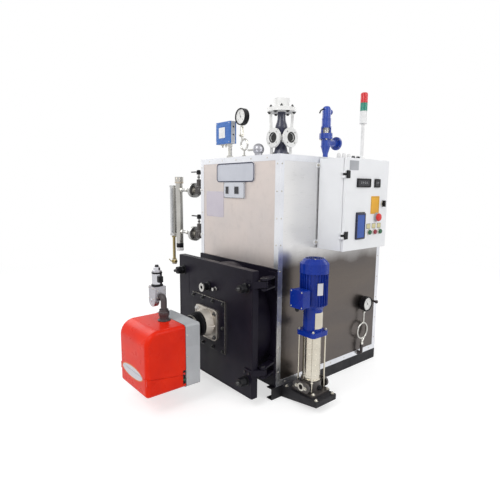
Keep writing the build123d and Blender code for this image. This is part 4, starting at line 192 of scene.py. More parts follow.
# Each look: its material's name, then the values of the function that makes it
PAINTS = {
    "black_steel": ("black_paint", (0.0065, 0.005, 0.011), (0.011, 0.009, 0.017), 0.38, 700, 0.10, 0.0, 2.5),
    "skid_paint": (
        "skid_black", (0.011, 0.011, 0.014), (0.022, 0.021, 0.024),
        0.5, 600, 0.15, 0.0, 1.5, (0.07, 0.06, 0.055),
    ),
    "refractory": (
        "castable", (0.56, 0.49, 0.38), (0.42, 0.35, 0.26), 0.95, 160, 1.2, 0.0, 2.0, (0.16, 0.13, 0.10),
    ),
    "sign_grey": ("sign_metal", (0.62, 0.64, 0.69), (0.55, 0.57, 0.63), 0.4, 1400, 0.02),
    "iron_pipe": (
        "malleable_iron", (0.065, 0.052, 0.055), (0.035, 0.028, 0.03),
        0.45, 260, 0.25, 0.0, 2.0, (0.13, 0.10, 0.09),
    ),
    "pump_iron": (
        "pump_casting", (0.035, 0.031, 0.032), (0.065, 0.056, 0.052),
        0.42, 240, 0.4, 0.2, 2.5, (0.13, 0.11, 0.09),
    ),
    "pump_blue": ("pump_blue", (0.005, 0.034, 0.32), (0.003, 0.022, 0.23), 0.26, 420, 0.18, 0.12, 2.0),
    "cabinet_white": ("powder_coat", (0.87, 0.88, 0.90), (0.83, 0.84, 0.86), 0.42, 1300, 0.10, 0.0, 2.0),
    "switch_blue": ("switch_blue", (0.035, 0.16, 0.50), (0.03, 0.13, 0.44), 0.34, 900, 0.06),
    "dial_case": ("gauge_case", (0.006, 0.006, 0.008), (0.012, 0.012, 0.014), 0.34, 900, 0.05),
    "valve_black": ("valve_casting", (0.014, 0.016, 0.04), (0.03, 0.034, 0.07), 0.36, 240, 0.5, 0.3, 2.0),
    "valve_white": ("valve_white", (0.84, 0.84, 0.83), (0.76, 0.76, 0.74), 0.38, 260, 0.3, 0.0, 2.0),
    "safety_blue": ("valve_blue", (0.016, 0.066, 0.42), (0.010, 0.042, 0.30), 0.30, 260, 0.35, 0.2, 2.0),
    "burner_grey": ("burner_grey", (0.50, 0.515, 0.535), (0.42, 0.435, 0.455), 0.4, 900, 0.08),
    "rope": ("rope_gasket", (0.46, 0.43, 0.38), (0.30, 0.28, 0.24), 0.95, 500, 0.8),
    "sign_face": ("sign_face", (0.56, 0.58, 0.64), (0.50, 0.52, 0.58), 0.42, 1400, 0.02),
    "plate_lilac": ("plate_lilac", (0.60, 0.56, 0.62), (0.54, 0.50, 0.57), 0.42, 1400, 0.02),
    "rail_silver": ("rail_silver", (0.60, 0.61, 0.62), (0.50, 0.51, 0.52), 0.4, 900, 0.04),
    "switch_grey": ("switch_grey", (0.60, 0.62, 0.66), (0.52, 0.54, 0.58), 0.4, 900, 0.06),
}
METALS = {
    "boiler_plate": ("mill_scale", (0.17, 0.155, 0.145), (0.09, 0.075, 0.065), 0.6, PLAIN, 180, 0.35),
    "aluminium_trim": (
        "mill_aluminium", (0.80, 0.81, 0.84), (0.70, 0.71, 0.75), 0.34, (1, 1, 0.03), 900, 0.02,
    ),
    "sight_steel": ("turned_steel", (0.62, 0.61, 0.58), (0.45, 0.44, 0.42), 0.28),
    "cast_flange": (
        "sand_cast_aluminium", (0.62, 0.58, 0.52), (0.36, 0.33, 0.30), 0.42, PLAIN, 190, 0.7, 3.0,
    ),
    "valve_grey": ("die_cast", (0.55, 0.54, 0.57), (0.42, 0.41, 0.44), 0.4, PLAIN, 300, 0.2, 1.5),
    "pump_steel": ("drawn_stainless", (0.66, 0.62, 0.53), (0.50, 0.46, 0.38), 0.16, (1, 1, 0.02), 700, 0.02),
    "galvanised": ("galvanised", (0.60, 0.62, 0.64), (0.42, 0.44, 0.47), 0.42, PLAIN, 45, 0.02),
    "gauge_steel": ("bright_tube", (0.60, 0.59, 0.56), (0.42, 0.41, 0.38), 0.18, (1, 1, 0.05), 500, 0.03),
    "cock_steel": ("forged_steel", (0.58, 0.58, 0.57), (0.36, 0.36, 0.35), 0.28, PLAIN, 240, 0.25),
    "probe_chrome": ("spun_dome", (0.44, 0.44, 0.46), (0.28, 0.28, 0.31), 0.38),
    "zinc": ("zinc_bolts", (0.66, 0.64, 0.58), (0.45, 0.43, 0.38), 0.3, PLAIN, 400, 0.05, 0.6),
    "dark_bolt": ("blued_bolts", (0.10, 0.10, 0.10), (0.05, 0.05, 0.05), 0.36, PLAIN, 400, 0.05, 0.6),
    "label_silver": ("label_foil", (0.62, 0.62, 0.66), (0.52, 0.52, 0.56), 0.4, PLAIN, 600, 0.01),
    "brass": ("olive_brass", (0.42, 0.34, 0.16), (0.26, 0.21, 0.10), 0.34, PLAIN, 300, 0.1),
    "nickel_tan": ("nickel_tan", (0.62, 0.54, 0.44), (0.46, 0.40, 0.32), 0.3, PLAIN, 300, 0.1),
    "weld_grey": ("weld_bead", (0.34, 0.31, 0.29), (0.18, 0.15, 0.13), 0.42, PLAIN, 400, 0.4),
    "die_bright": ("die_bright", (0.66, 0.66, 0.69), (0.52, 0.52, 0.56), 0.26, (1, 1, 0.1), 500, 0.05),
}
PLASTICS = {
    "knob_black": ("black_moulding", (0.008, 0.008, 0.010), 0.36, 900, 0.05, 1.5),
    "hinge_black": ("hinge_moulding", (0.012, 0.012, 0.014), 0.4),
    "display_black": ("display_glass", (0.010, 0.011, 0.018), 0.12),
    "gland_white": ("white_nylon", (0.74, 0.74, 0.74), 0.4),
    "light_white": ("white_tube", (0.82, 0.82, 0.82), 0.28),
    "screen_blue": ("screen_blue", (0.02, 0.085, 0.40), 0.10),
    "navy": ("navy_frame", (0.008, 0.012, 0.05), 0.3),
    "amber": ("amber_plate", (0.83, 0.42, 0.015), 0.35),
    "stop_red": ("stop_red", (0.72, 0.018, 0.02), 0.25),
    "push_green": ("push_green", (0.005, 0.10, 0.035), 0.28),
    "push_maroon": ("push_maroon", (0.28, 0.008, 0.03), 0.28),
    "tag_cream": ("tag_cream", (0.72, 0.66, 0.36), 0.4),
    "soft_grey": ("soft_grey", (0.42, 0.43, 0.46), 0.4),
    "paper_white": ("printed_white", (0.84, 0.84, 0.84), 0.5),
    "dial_white": ("dial_white", (0.84, 0.84, 0.82), 0.45),
    "ink": ("black_ink", (0.008, 0.008, 0.008), 0.5),
    "print_grey": ("dial_print", (0.16, 0.16, 0.17), 0.5),
    "duct_grey": ("duct_grey", (0.46, 0.47, 0.48), 0.5),
    "device_grey": ("device_grey", (0.62, 0.63, 0.64), 0.4),
    "terminal_tan": ("terminal_tan", (0.52, 0.47, 0.38), 0.5),
}
looks = {}
for make, rows in ((painted, PAINTS), (metal, METALS), (moulded, PLASTICS)):
    for slot, values in rows.items():
        looks[slot] = make(*values)

# Matte stainless of the front: warm grey, faint rolling streaks, smudges and small dents
sheet = Shade("matte_stainless", (0.62, 0.56, 0.53), 0.75, 0.42)
warm = sheet.mix(sheet.spread(sheet.noise(3.2, 4)), (0.60, 0.55, 0.53), (0.68, 0.60, 0.56))
smudge = sheet.spread(sheet.noise(14, 6, soft=0.7), 0.0, 0.55, 0.5, 0.75)
sheet.put("Base Color", sheet.mix(smudge, warm, (0.52, 0.47, 0.45)))
sheet.put("Roughness", sheet.spread(sheet.noise(300, 4, (1, 1, 0.02)), 0.36, 0.52))
sheet.relief(sheet.noise(26, 4), 0.5, 1.0)
looks["matte_stainless"] = sheet

# Bright stainless of the sides: silver above; its lower half is a painted reflection, the smoky brown of a
# workshop floor mirrored in the sides
FLOOR_REFLECTION_BELOW, SILVER_ABOVE = 770, 1090
bright = Shade("bright_stainless", (0.72, 0.71, 0.70), 0.92, 0.26)
wander = bright.spread(bright.noise(2.2, 4), -0.16, 0.16)
height = bright.math("ADD", bright.along("Z", FLOOR_REFLECTION_BELOW, SILVER_ABOVE), wander)
cloud = bright.spread(bright.noise(1.8, 3, (1, 0.5, 2.0)), 0.0, 1.0, 0.30, 0.80)
# Painted reflection: these browns stand for the floor mirrored in the lower half of the sides, and they show
# from every side
lower = bright.mix(cloud, (0.105, 0.094, 0.092), (0.155, 0.130, 0.110))
upper = bright.mix(bright.spread(bright.noise(3.5, 3, (1, 0.4, 1))), (0.80, 0.79, 0.78), (0.70, 0.70, 0.71))
bright.put("Base Color", bright.mix(bright.spread(height, 0.0, 1.0, 0.28, 0.82), lower, upper))
bright.put("Roughness", bright.spread(bright.noise(420, 4, (1, 0.03, 1)), 0.27, 0.33))
bright.relief(bright.noise(6, 2), 0.25, 1.0)
looks["bright_stainless"] = bright

# Gloss red moulding with a blank silver oval, rimmed in orange, printed low on its front
OVAL_X, OVAL_Z = -50, 242
HOOD_FRONT_Y = -1335
hood = Shade("hood_red", (0.80, 0.040, 0.010), 0.0, 0.3)
spot = wire(hood.tree, "SeparateXYZ", hood.place)
front = hood.math("LESS_THAN", spot["Y"], HOOD_FRONT_Y * MM)


def hood_oval(half_width, half_height):
    """1 inside an oval on the hood's front, from its half sizes in millimetres."""
    across = hood.math("DIVIDE", hood.math("SUBTRACT", spot["X"], OVAL_X * MM), half_width * MM)
    up = hood.math("DIVIDE", hood.math("SUBTRACT", spot["Z"], OVAL_Z * MM), half_height * MM)
    reach = hood.math("ADD", hood.math("MULTIPLY", across, across), hood.math("MULTIPLY", up, up))
    return hood.math("MULTIPLY", hood.math("LESS_THAN", reach, 1.0), front)


red = hood.mix(hood.spread(hood.noise(6, 4)), (0.80, 0.024, 0.003), (0.70, 0.016, 0.003))
rimmed = hood.mix(hood_oval(146, 42), red, (0.72, 0.20, 0.05))
hood.put("Base Color", hood.mix(hood_oval(138, 35), rimmed, (0.62, 0.62, 0.66)))
hood.put("Roughness", hood.spread(hood.noise(14, 4), 0.24, 0.36))
hood.put("Specular IOR Level", 0.14)
hood.relief(hood.noise(500, 2), 0.06, 2.0)
looks["hood_red"] = hood

# Signal light: red lens over green
LENS_SPLIT_Z = 1970
lens = Shade("signal_lenses", (0.75, 0.02, 0.02), 0.0, 0.18)
split = lens.along("Z", LENS_SPLIT_Z, LENS_SPLIT_Z + 1)
lens.put("Base Color", lens.mix(split, (0.0, 0.22, 0.15), (0.62, 0.010, 0.015)))
lens.put("Coat Weight", 0.2)
lens.put("Coat Roughness", 0.2)
lens.relief(wire(lens.tree, "TexWave", lens.place, bands_direction="Z", Scale=55)["Fac"], 0.5, 1.0)
looks["lens_colours"] = lens
looks["button_colours"] = looks["stop_red"]

looks["black_steel"].put("Specular IOR Level", 0.13)
for name in ("knob_black", "hinge_black", "dial_case", "pump_blue", "skid_paint"):
    looks[name].put("Specular IOR Level", 0.2)
for row in frame["record"]["subparts"]:
    node = frame["nodes"][row["node"]]
    node.data.materials.clear()
    node.data.materials.append(looks[row["material_slot"]].material)


# Shapes
def facing(direction):
    """Columns x, y, z of a frame whose z is the direction, with y upright where it can be."""
    z = Vector(direction).normalized()
    if abs(z.z) > 0.9:
        x = Vector((1, 0, 0))
        y = z.cross(x)
    else:
        y = Vector((0, 0, 1))
        y = (y - z * y.dot(z)).normalized()
        x = y.cross(z)
    return Matrix((x, y, z)).transposed()


def at(origin, direction, x, y, z=0.0):
    """A point given in the local frame of a direction."""
    return Vector(origin) + facing(direction) @ Vector((x, y, z))


def turns_of(count, start=0.0):
    """Even angles of a full turn."""
    return [start + 2 * math.pi * index / count for index in range(count)]


def round_ring(radius, height, angles):
    """Points of a circle at a height."""
    return [(radius * math.cos(angle), radius * math.sin(angle), height) for angle in angles]


def flat_rings(outline, *heights):
    """An outline repeated at heights."""
    return [[(x, y, height) for x, y in outline] for height in heights]


def rounded(width, height, corner, steps=6):
    """Outline of a rectangle with rounded corners, counter-clockwise."""
    x, y = width / 2, height / 2
    if not corner:
        return [(-x, -y), (x, -y), (x, y), (-x, y)]
    outline = []
    for quarter, (sx, sy) in enumerate(((1, -1), (1, 1), (-1, 1), (-1, -1))):
        centre = (sx * (x - corner), sy * (y - corner))
        for step in range(steps + 1):
            angle = math.pi / 2 * (quarter - 1 + step / steps)
            outline.append((centre[0] + corner * math.cos(angle), centre[1] + corner * math.sin(angle)))
    return outline


class Piece:
    """Mesh forms gathered into one object."""

    def __init__(self, name, look, body=STEAM):
        self.name, self.look, self.body = name, look, body
        self.mesh = bmesh.new()

    def join(self, pairs):
        """Faces from each ring of vertices to its partner."""
        for one, other in pairs:
            for index in range(len(one)):
                after = (index + 1) % len(one)
                self.mesh.faces.new((one[index], one[after], other[after], other[index]))

    def cap(self, made):
        """Close both ends of a run of rings."""
        self.mesh.faces.new(list(reversed(made[0])))
        self.mesh.faces.new(made[-1])

    def add(self, origin, direction, rings, closed=True, looped=False):
        """Join rings of local points into a skin, and cap its ends or close it on itself."""
        turn = facing(direction)
        made = []
        for ring in rings:
            made.append([self.mesh.verts.new((Vector(origin) + turn @ Vector(point)) * MM) for point in ring])
        self.join(zip(made, made[1:]))
        if looped:
            self.join([(made[-1], made[0])])
        elif closed:
            self.cap(made)
        return self

    def lathe(self, origin, direction, profile, segments=40, turn=0.0):
        """Revolve (radius, height) pairs about a direction."""
        angles = turns_of(segments, turn)
        return self.add(origin, direction, [round_ring(max(r, 0.01), h, angles) for r, h in profile])

    def lathes(self, *forms):
        """Several revolved forms, each with the values of lathe."""
        for form in forms:
            self.lathe(*form)
        return self

    def dots(self, spots, direction, profile, segments=16):
        """The same revolved form at several spots."""
        for spot in spots:
            self.lathe(spot, direction, profile, segments)
        return self

    def rod(self, origin, direction, radius, length, segments=40):
        """A plain cylinder."""
        return self.lathe(origin, direction, [(radius, 0), (radius, length)], segments)

    def pipe(self, origin, direction, outer, inner, length, segments=48):
        """A ring with a hole through it."""
        profile = [(inner, 0), (outer, 0), (outer, length), (inner, length)]
        rings = [round_ring(r, h, turns_of(segments)) for r, h in profile]
        return self.add(origin, direction, rings, looped=True)

    def slab(self, origin, direction, width, height, depth, corner=0.0):
        """A plate centred on its origin that grows along a direction, its corners rounded."""
        return self.add(origin, direction, flat_rings(rounded(width, height, corner), 0, depth))

    def rim(self, origin, direction, size, inner, depth, corner=0.0, inner_corner=0.0):
        """A frame: a rounded plate with a rounded opening."""
        outside = flat_rings(rounded(*size, corner), 0, depth)
        inside = flat_rings(rounded(*inner, inner_corner), 0, depth)
        rings = [inside[0], outside[0], outside[1], inside[1]]
        return self.add(origin, direction, rings, looped=True)

    def box(self, low, high):
        """A block between two corners."""
        (x, y, _), size = [(a + b) / 2 for a, b in zip(low, high)], [b - a for a, b in zip(low, high)]
        return self.slab((x, y, low[2]), UP, *size)

    def bolt(self, origin, direction, across, height=None, washer=True, stud=0.0, turn=0.3):
        """A hexagon head or nut, on a washer, perhaps with the end of its stud."""
        height = height or across * 0.62
        radius = across / math.sqrt(3)
        base = 0.0
        if washer:
            base = across * 0.12
            self.lathe(origin, direction, [(across * 0.86, 0), (across * 0.86, base)], 24)
        profile = [(radius, base), (radius, base + height * 0.82), (radius * 0.84, base + height)]
        self.lathe(origin, direction, profile, 6, turn)
        if stud:
            self.rod(origin, direction, across * 0.3, base + height + stud, 16)
        return self

    def bolts(self, origin, direction, circle, count, across, start=0.0, **kind):
        """Bolts on a circle about a direction."""
        for angle in turns_of(count, start):
            spot = at(origin, direction, circle * math.cos(angle), circle * math.sin(angle))
            self.bolt(spot, direction, across, turn=angle, **kind)
        return self

    def sweep(self, points, radius, segments=20, closed=False):
        """A round bar along points."""
        points = [Vector(point) for point in points]
        count = len(points)
        rings = []
        side = None
        for index, point in enumerate(points):
            before = points[index - 1] if index or closed else point
            after = points[(index + 1) % count] if index < count - 1 or closed else point
            ahead = (after - before).normalized()
            if side is None:
                side = ahead.orthogonal().normalized()
            side = (side - ahead * side.dot(ahead)).normalized()
            across = ahead.cross(side)
            circle = round_ring(1, 0, turns_of(segments))
            spots = [point + (side * x + across * y) * radius for x, y, _ in circle]
            rings.append([self.mesh.verts.new(spot * MM) for spot in spots])
        self.join(zip(rings, rings[1:]))
        if closed:
            self.join([(rings[-1], rings[0])])
        else:
            self.cap(rings)
        return self

    def words(self, text, origin, direction, size):
        """Numbers as thin raised print."""
        curve = bpy.data.curves.new("print", "FONT")
        curve.body = text
        curve.size = size * MM
        curve.extrude = 0.15 * MM
        curve.align_x = curve.align_y = "CENTER"
        holder = bpy.data.objects.new("print", curve)
        mesh = bpy.data.meshes.new_from_object(holder)
        mesh.transform(Matrix.Translation(Vector(origin) * MM) @ facing(direction).to_4x4())
        self.mesh.from_mesh(mesh)
        bpy.data.objects.remove(holder)
        bpy.data.meshes.remove(mesh)
        return self

    def done(self, edge=0.0, replaces=()):
        """Make the object, round its edges and give it to its body."""
        bmesh.ops.recalc_face_normals(self.mesh, faces=self.mesh.faces)
        for face in self.mesh.faces:
            face.smooth = True
        for bar in self.mesh.edges:
            if len(bar.link_faces) == 2 and bar.calc_face_angle(0.0) > EDGE_ANGLE:
                bar.smooth = False
        data = bpy.data.meshes.new(self.name)
        self.mesh.to_mesh(data)
        self.mesh.free()
        piece = bpy.data.objects.new(self.name, data)
        bpy.context.scene.collection.objects.link(piece)
        data.materials.append(looks[self.look].material)
        if edge:
            bevel = piece.modifiers.new("edges", "BEVEL")
            bevel.width = edge * MM
            bevel.segments = 2
            bevel.limit_method = "ANGLE"
            bevel.angle_limit = EDGE_ANGLE
            bevel.harden_normals = True
        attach(piece, self.body)
        if replaces:
            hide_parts(*replaces)


def turned(name, look, edge, *forms, body=STEAM):
    """A piece of revolved forms alone."""
    Piece(name, look, body).lathes(*forms).done(edge)


SCREW = [(5.5, 0), (5.2, 1.2), (3.2, 2.6)]
LOW_SCREW = [(5.5, 0), (5.2, 1.0), (3.2, 1.9)]
RIVET = [(3.4, 0), (3.0, 1.1), (1.6, 1.9)]

# Sign, display panel and rating plate on the front
SIGN_X, SIGN_Z = -11, 1494
PANEL_Y, DISPLAY_Y = -563, -573
outline = Piece("sign_outline", "navy")
outline.rim((SIGN_X, -569, SIGN_Z), FRONT, (419, 131), (405, 117), 1.0, 26.5, 19).done(0.4)
Piece("sign_face", "sign_face").slab((SIGN_X, -566, SIGN_Z), FRONT, 404, 116, 0.8, 18.5).done(0.2)
windows = Piece("display_windows", "display_black")
bezels = Piece("display_bezels", "soft_grey")
for x, width in ((-89, 32), (19, 46)):
    windows.slab((x, DISPLAY_Y, 1372), FRONT, width, 48, 0.8, 2)
    bezels.rim((x, DISPLAY_Y, 1372), FRONT, (width + 7, 55), (width + 0.6, 48.6), 2.2, 4, 2)
windows.rim((-15, DISPLAY_Y, 1373), FRONT, (231, 111), (226, 106), 0.5)
windows.done(0.2)
bezels.done(0.4)
plate = Piece("rating_plate", "plate_lilac")
plate.slab((-253, PANEL_Y, 1268), FRONT, 220, 187, 1.0, 6)
plate.rim((-253, PANEL_Y - 1, 1268), FRONT, (208, 175), (204, 171), 0.4, 4, 3)
plate.done(0.3)
rivets = Piece("plate_rivets", "zinc")
rivets.dots([(x, PANEL_Y - 1, z) for x in (-355, -151) for z in (1183, 1353)], FRONT, RIVET)
rivets.dots([(x, DISPLAY_Y, z) for x in (-122, 92) for z in (1326, 1420)], FRONT, RIVET)
rivets.done()

# Screws of the cladding: on the trims, and at the rear on the panel, inside the casing's depth
CASE_X, FRONT_Y, REAR_Y = 437.5, -565, 563
heights, columns = range(180, 1541, 170), range(-320, 321, 160)
screws = Piece("cladding_screws", "zinc")
for side, turn in ((-1, LEFT), (1, RIGHT)):
    screws.dots([(side * CASE_X, y, z) for z in heights for y in (-545, 545)], turn, SCREW)
    screws.dots([(side * CASE_X, y, 100) for y in range(-480, 481, 160)], turn, SCREW)
    screws.dots([(side * 417, FRONT_Y, z) for z in heights if z > 900], FRONT, SCREW)
    screws.dots([(side * 387, REAR_Y, z) for z in heights], REAR, LOW_SCREW)
screws.dots([(x, FRONT_Y, 1580) for x in columns], FRONT, SCREW)
screws.dots([(x, REAR_Y, z) for x in columns for z in (132, 1546)], REAR, LOW_SCREW)
screws.done()

# Control door: label, displays, amber plate, screen, stop button, push buttons and their tags
FACE = 662.5
DOOR_Y, DOOR_Z = 38, 1285
SCREEN_Y, SCREEN_Z = -35, 1143
METER_Z, PUSH_Z = 1428, 1097
Piece("door_label", "soft_grey", PANEL).slab((FACE, -122, 1538), RIGHT, 94, 60, 1.5, 3).done(0.3)
glass = Piece("meter_glass", "display_black", PANEL)
bezels = Piece("meter_bezels", "knob_black", PANEL)
for y, width, inner in ((-14, 148, 118), (139, 62, 40)):
    bezels.rim((FACE + 7, y, METER_Z), RIGHT, (width, 57), (inner + 8, 38), 3, 5, 3)
    glass.slab((FACE + 7, y, METER_Z), RIGHT, inner + 7, 37, 0.7, 2)
glass.done(0.2)
bezels.done(0.8)
digits = Piece("meter_digits", "duct_grey", PANEL)
for start, step, count in ((-44, 20, 4), (131, 16, 2)):
    for index in range(count):
        digits.words("0", (FACE + 8, start + index * step, METER_Z + 1), RIGHT, step)
digits.done()
Piece("amber_plate", "amber", PANEL).slab((FACE, 129, 1281), RIGHT, 98, 120, 1.5, 3).done(0.3)
line = Piece("amber_line", "ink", PANEL)
line.rim((FACE + 1.5, 129, 1281), RIGHT, (88, 110), (85.6, 107.6), 0.3, 2, 1).done()
screen = Piece("screen_frame", "navy", PANEL)
screen.slab((FACE, SCREEN_Y, SCREEN_Z), RIGHT, 98, 174, 10, 6)
screen.rim((FACE + 10, SCREEN_Y, SCREEN_Z), RIGHT, (96, 172), (78, 152), 2.5, 6, 3)
screen.done(1.2)
glass = Piece("screen_glass", "screen_blue", PANEL)
glass.slab((FACE + 10, SCREEN_Y, SCREEN_Z), RIGHT, 77.4, 151.4, 0.8, 2)
glass.done(0.2)
collar = [(31, 0), (31, 4), (27, 8), (21, 9), (21, 14), (16, 15)]
mushroom = [(19, -1), (25, 0.5), (27, 5), (27, 9), (23, 14.5), (13, 17.6), (3, 18.4)]
turned("stop_collar", "soft_grey", 0.6, ((FACE, 150, 1197), RIGHT, collar, 48), body=PANEL)
turned("stop_cap", "stop_red", 0.0, ((FACE + 16, 150, 1197), RIGHT, mushroom, 48), body=PANEL)
button = [(16.4, 0), (16.4, 14), (15, 17.0), (10, 17.4), (9, 16.6)]
collars = Piece("push_collars", "zinc", PANEL)
tags = Piece("push_tags", "tag_cream", PANEL)
edges = Piece("tag_edges", "ink", PANEL)
for index, look in enumerate(("push_green", "push_maroon", "push_green")):
    y = 70 + 62 * index
    turned(f"push_cap_{index + 1}", look, 0.3, ((FACE, y, PUSH_Z), RIGHT, button, 40), body=PANEL)
    collars.lathe((FACE, y, PUSH_Z), RIGHT, [(20, 0), (20, 3.5), (18.6, 6), (17, 7.5)])
    tags.slab((FACE, y - 6, PUSH_Z + 41), RIGHT, 40, 30, 1.6, 2)
    edges.rim((FACE, y - 6, PUSH_Z + 41), RIGHT, (44, 34), (40.2, 30.2), 1.4, 3, 2)
collars.done(0.4)
tags.done(0.3)
edges.done(0.2)
covers = Piece("hinge_covers", "hinge_black", PANEL)
for z in (1090, 1480):
    covers.slab((FACE, -190, z), RIGHT, 20, 50, 8, 5)
    covers.dots([(FACE + 8, -190, z + step) for step in (-14, 14)], RIGHT, [(4.5, 0), (4.2, 0.8), (2, 1.6)])
covers.done(1.6)
gasket = Piece("door_gasket", "knob_black", PANEL)
gasket.rim((645.5, DOOR_Y, DOOR_Z), LEFT, (462, 582), (440, 560), 3.4, 8, 6)
gasket.done(0.8)
turned("lock_ring", "zinc", 0.4, ((FACE, 216, 1289), RIGHT, [(19, 0), (19, 4), (16, 7), (15, 7)]), body=PANEL)
fold = Piece("cabinet_fold", "cabinet_white")
fold.rim((FACE - 22, DOOR_Y, DOOR_Z), RIGHT, (480, 600), (462, 582), 1.6, 3, 3)
fold.done(0.5)

# Cable glands and the rings of the light tower
TOWER_X, TOWER_Y, CABINET_TOP = 538, 126, 1585
for name, look, indices, low in (
    ("white_glands", "gland_white", range(3), 0),
    ("black_glands", "hinge_black", (3, 4), 9),
):
    gland = Piece(name, look)
    nose = [(12.8, 0), (12.8, 14 - low), (11.6, 20 - low), (8.5, 25 - low), (5, 26 - low)]
    for index in indices:
        y = -154 + 52 * index
        gland.lathe((560, y, CABINET_TOP), UP, [(15.5, 0), (15.5, 8), (14.6, 9)], 6, 0.3)
        gland.lathe((560, y, CABINET_TOP + 9), UP, nose, 32)
    gland.done(0.5)
tower = Piece("tower_rings", "light_white")
band = [(25.2, 0), (26, 0.8), (26, 4.4), (25.2, 5.2)]
tower.dots([(TOWER_X, TOWER_Y, z) for z in (1833, 1911.5)], UP, band, 48)
tower.lathe((TOWER_X, TOWER_Y, 1597), UP, [(25, 0), (22, 4), (14, 9), (12, 18)])
tower.done(0.3)
bolts = Piece("tower_screws", "zinc")
for angle in (0.5, 2.6, 4.7):
    bolts.bolt((TOWER_X + 20 * math.cos(angle), TOWER_Y + 20 * math.sin(angle), 1597), UP, 5, 2.4, False)
bolts.done()

# Switchgear on the mounting plate inside the control cabinet
BACK = 460.5
RAIL_FACE = BACK + 7
rails = Piece("inner_rails", "galvanised")
for z in (1150, 1300, 1450):
    rails.slab((BACK, DOOR_Y, z), RIGHT, 370, 35, 7, 1)
rails.done(0.4)
ducts = Piece("wire_ducts", "duct_grey")
for z in (1078, 1225, 1375, 1520):
    ducts.slab((BACK, DOOR_Y, z), RIGHT, 400, 38, 52, 2)
    for y in range(-148, 225, 14):
        ducts.slab((BACK + 52, y, z + 13), RIGHT, 8, 10, 1.2)
ducts.done(0.5)
breakers = Piece("breakers", "device_grey")
toggles = Piece("breaker_toggles", "ink")
for y in range(-130, 39, 21):
    breakers.slab((RAIL_FACE, y, 1450), RIGHT, 18, 86, 44, 1.5)
    breakers.slab((RAIL_FACE + 44, y, 1450), RIGHT, 18, 44, 18, 1.5)
    toggles.slab((RAIL_FACE + 62, y, 1450), RIGHT, 9, 16, 8, 1)
breakers.slab((RAIL_FACE, 130, 1450), RIGHT, 84, 92, 60, 3)
for y in (-108, -46, 16):
    breakers.slab((RAIL_FACE, y, 1300), RIGHT, 48, 82, 78, 3)
    toggles.slab((RAIL_FACE + 78, y, 1300), RIGHT, 22, 22, 3, 2)
breakers.slab((RAIL_FACE, 135, 1300), RIGHT, 110, 100, 46, 4)
breakers.done(0.8)
toggles.done(0.4)
terminals = Piece("terminal_blocks", "terminal_tan")
for index in range(30):
    y = -135 + index * 9.2
    terminals.slab((RAIL_FACE, y, 1150), RIGHT, 7.4, 48, 36, 0.8)
    terminals.slab((RAIL_FACE + 36, y, 1150), RIGHT, 5, 26, 4, 0.8)
terminals.done(0.3)


# Dials of the two gauges
def spun(shape, angle):
    """A flat shape turned about the origin."""
    c, s = math.cos(angle), math.sin(angle)
    return [(a * c - b * s, a * s + b * c) for a, b in shape]


def dial(name, origin, direction, radius, needle):
    """A printed dial under its case's rim: disc, ticks, numbers and a needle at a share of its sweep."""
    zero, sweep = 225, 270
    turned(name + "_disc", "dial_white", 0.0, (origin, direction, [(radius, 0), (radius, 0.6)], 64))
    face = at(origin, direction, 0, 0, 0.6)
    ink = Piece(name + "_print", "print_grey")
    for index in range(41):
        inner, half = (0.78, 0.9) if index % 10 == 0 else (0.86, 0.45)
        near, far = radius * inner, radius * 0.93
        bar = ((near, -half), (far, -half), (far, half), (near, half))
        tick = spun(bar, math.radians(zero - index * sweep / 40))
        ink.add(face, direction, flat_rings(tick, 0.0, 0.25))
    for index, text in enumerate(("0", "4", "8", "12", "16")):
        x, y = spun([(radius * 0.60, 0)], math.radians(zero - index * sweep / 4))[0]
        ink.words(text, at(face, direction, x, y, 0.1), direction, radius * 0.2)
    tail, tip = -radius * 0.24, radius * 0.8
    hand = spun(((tail, -1.6), (tip, -0.5), (tip, 0.5), (tail, 1.6)), math.radians(zero - needle * sweep))
    ink.add(face, direction, flat_rings(hand, 1.4, 2.0))
    ink.lathe(face, direction, [(4.4, 0), (4.4, 2.4), (3, 3.2)], 24)
    ink.done()
    profile = ((6.2, 2.0), (7.4, 4.2), (6.8, 6.6), (4.4, 7.4), (1.4, 6.6), (0.4, 5.0), (0.4, 2.0), (6.2, 2.0))
    rings = [round_ring(radius + r, h, turns_of(72)) for r, h in profile]
    Piece(name + "_bezel", "dial_case").add(origin, direction, rings, False).done()


GAUGE_X, GAUGE_Y, GAUGE_Z = -62, -462, 1886
dial("steam_dial", (GAUGE_X, GAUGE_Y - 14, GAUGE_Z), FRONT, 50, 0.42)
dial("feed_dial", (484, 368, 500), RIGHT, 49, 0.36)
turned(
    "gauge_backs", "dial_case", 0.6,
    ((GAUGE_X, GAUGE_Y + 19, GAUGE_Z), REAR, [(54, 0), (50, 3), (20, 5), (14, 9)], 56),
    ((451, 368, 500), LEFT, [(52, 0), (48, 3), (20, 5), (12, 8)], 56),
)
turned(
    "gauge_nuts", "gauge_steel", 0.5,
    ((GAUGE_X, GAUGE_Y, 1814), UP, [(12, 0), (12, 12), (10, 14)], 6),
    ((470, 346, 430), UP, [(13, 0), (13, 12), (11, 14)], 6),
    ((470, 335, 176), UP, [(15.5, 0), (15.5, 12), (13, 15)], 6),
    ((-36, GAUGE_Y, 1600), UP, [(17, 0), (17, 3), (15.5, 4), (15.5, 16), (13, 18)], 6),
    ((-190, -472, 1600), UP, [(27, 0), (27, 4), (25, 5), (25, 20), (22, 22)], 6),
    ((-190, -472, 1688), UP, [(19, 0), (19, 18), (17, 20)], 6),
)
Piece("gauge_link", "gauge_steel").sweep([(8, -462, 1650), (34, -461, 1650), (70, -456, 1650)], 6.5).done(0.3)
turned(
    "gauge_cock", "zinc", 0.5,
    ((GAUGE_X, GAUGE_Y, 1746), UP, [(10, 0), (13.5, 3), (13.5, 62), (11, 66)], 28),
    ((GAUGE_X, GAUGE_Y - 15, 1756), FRONT, [(6, 0), (6, 10)], 20),
)
turned("probe_neck", "zinc", 0.6, ((104, -450, 1600), UP, [(29, 0), (29, 4), (27, 6)]))
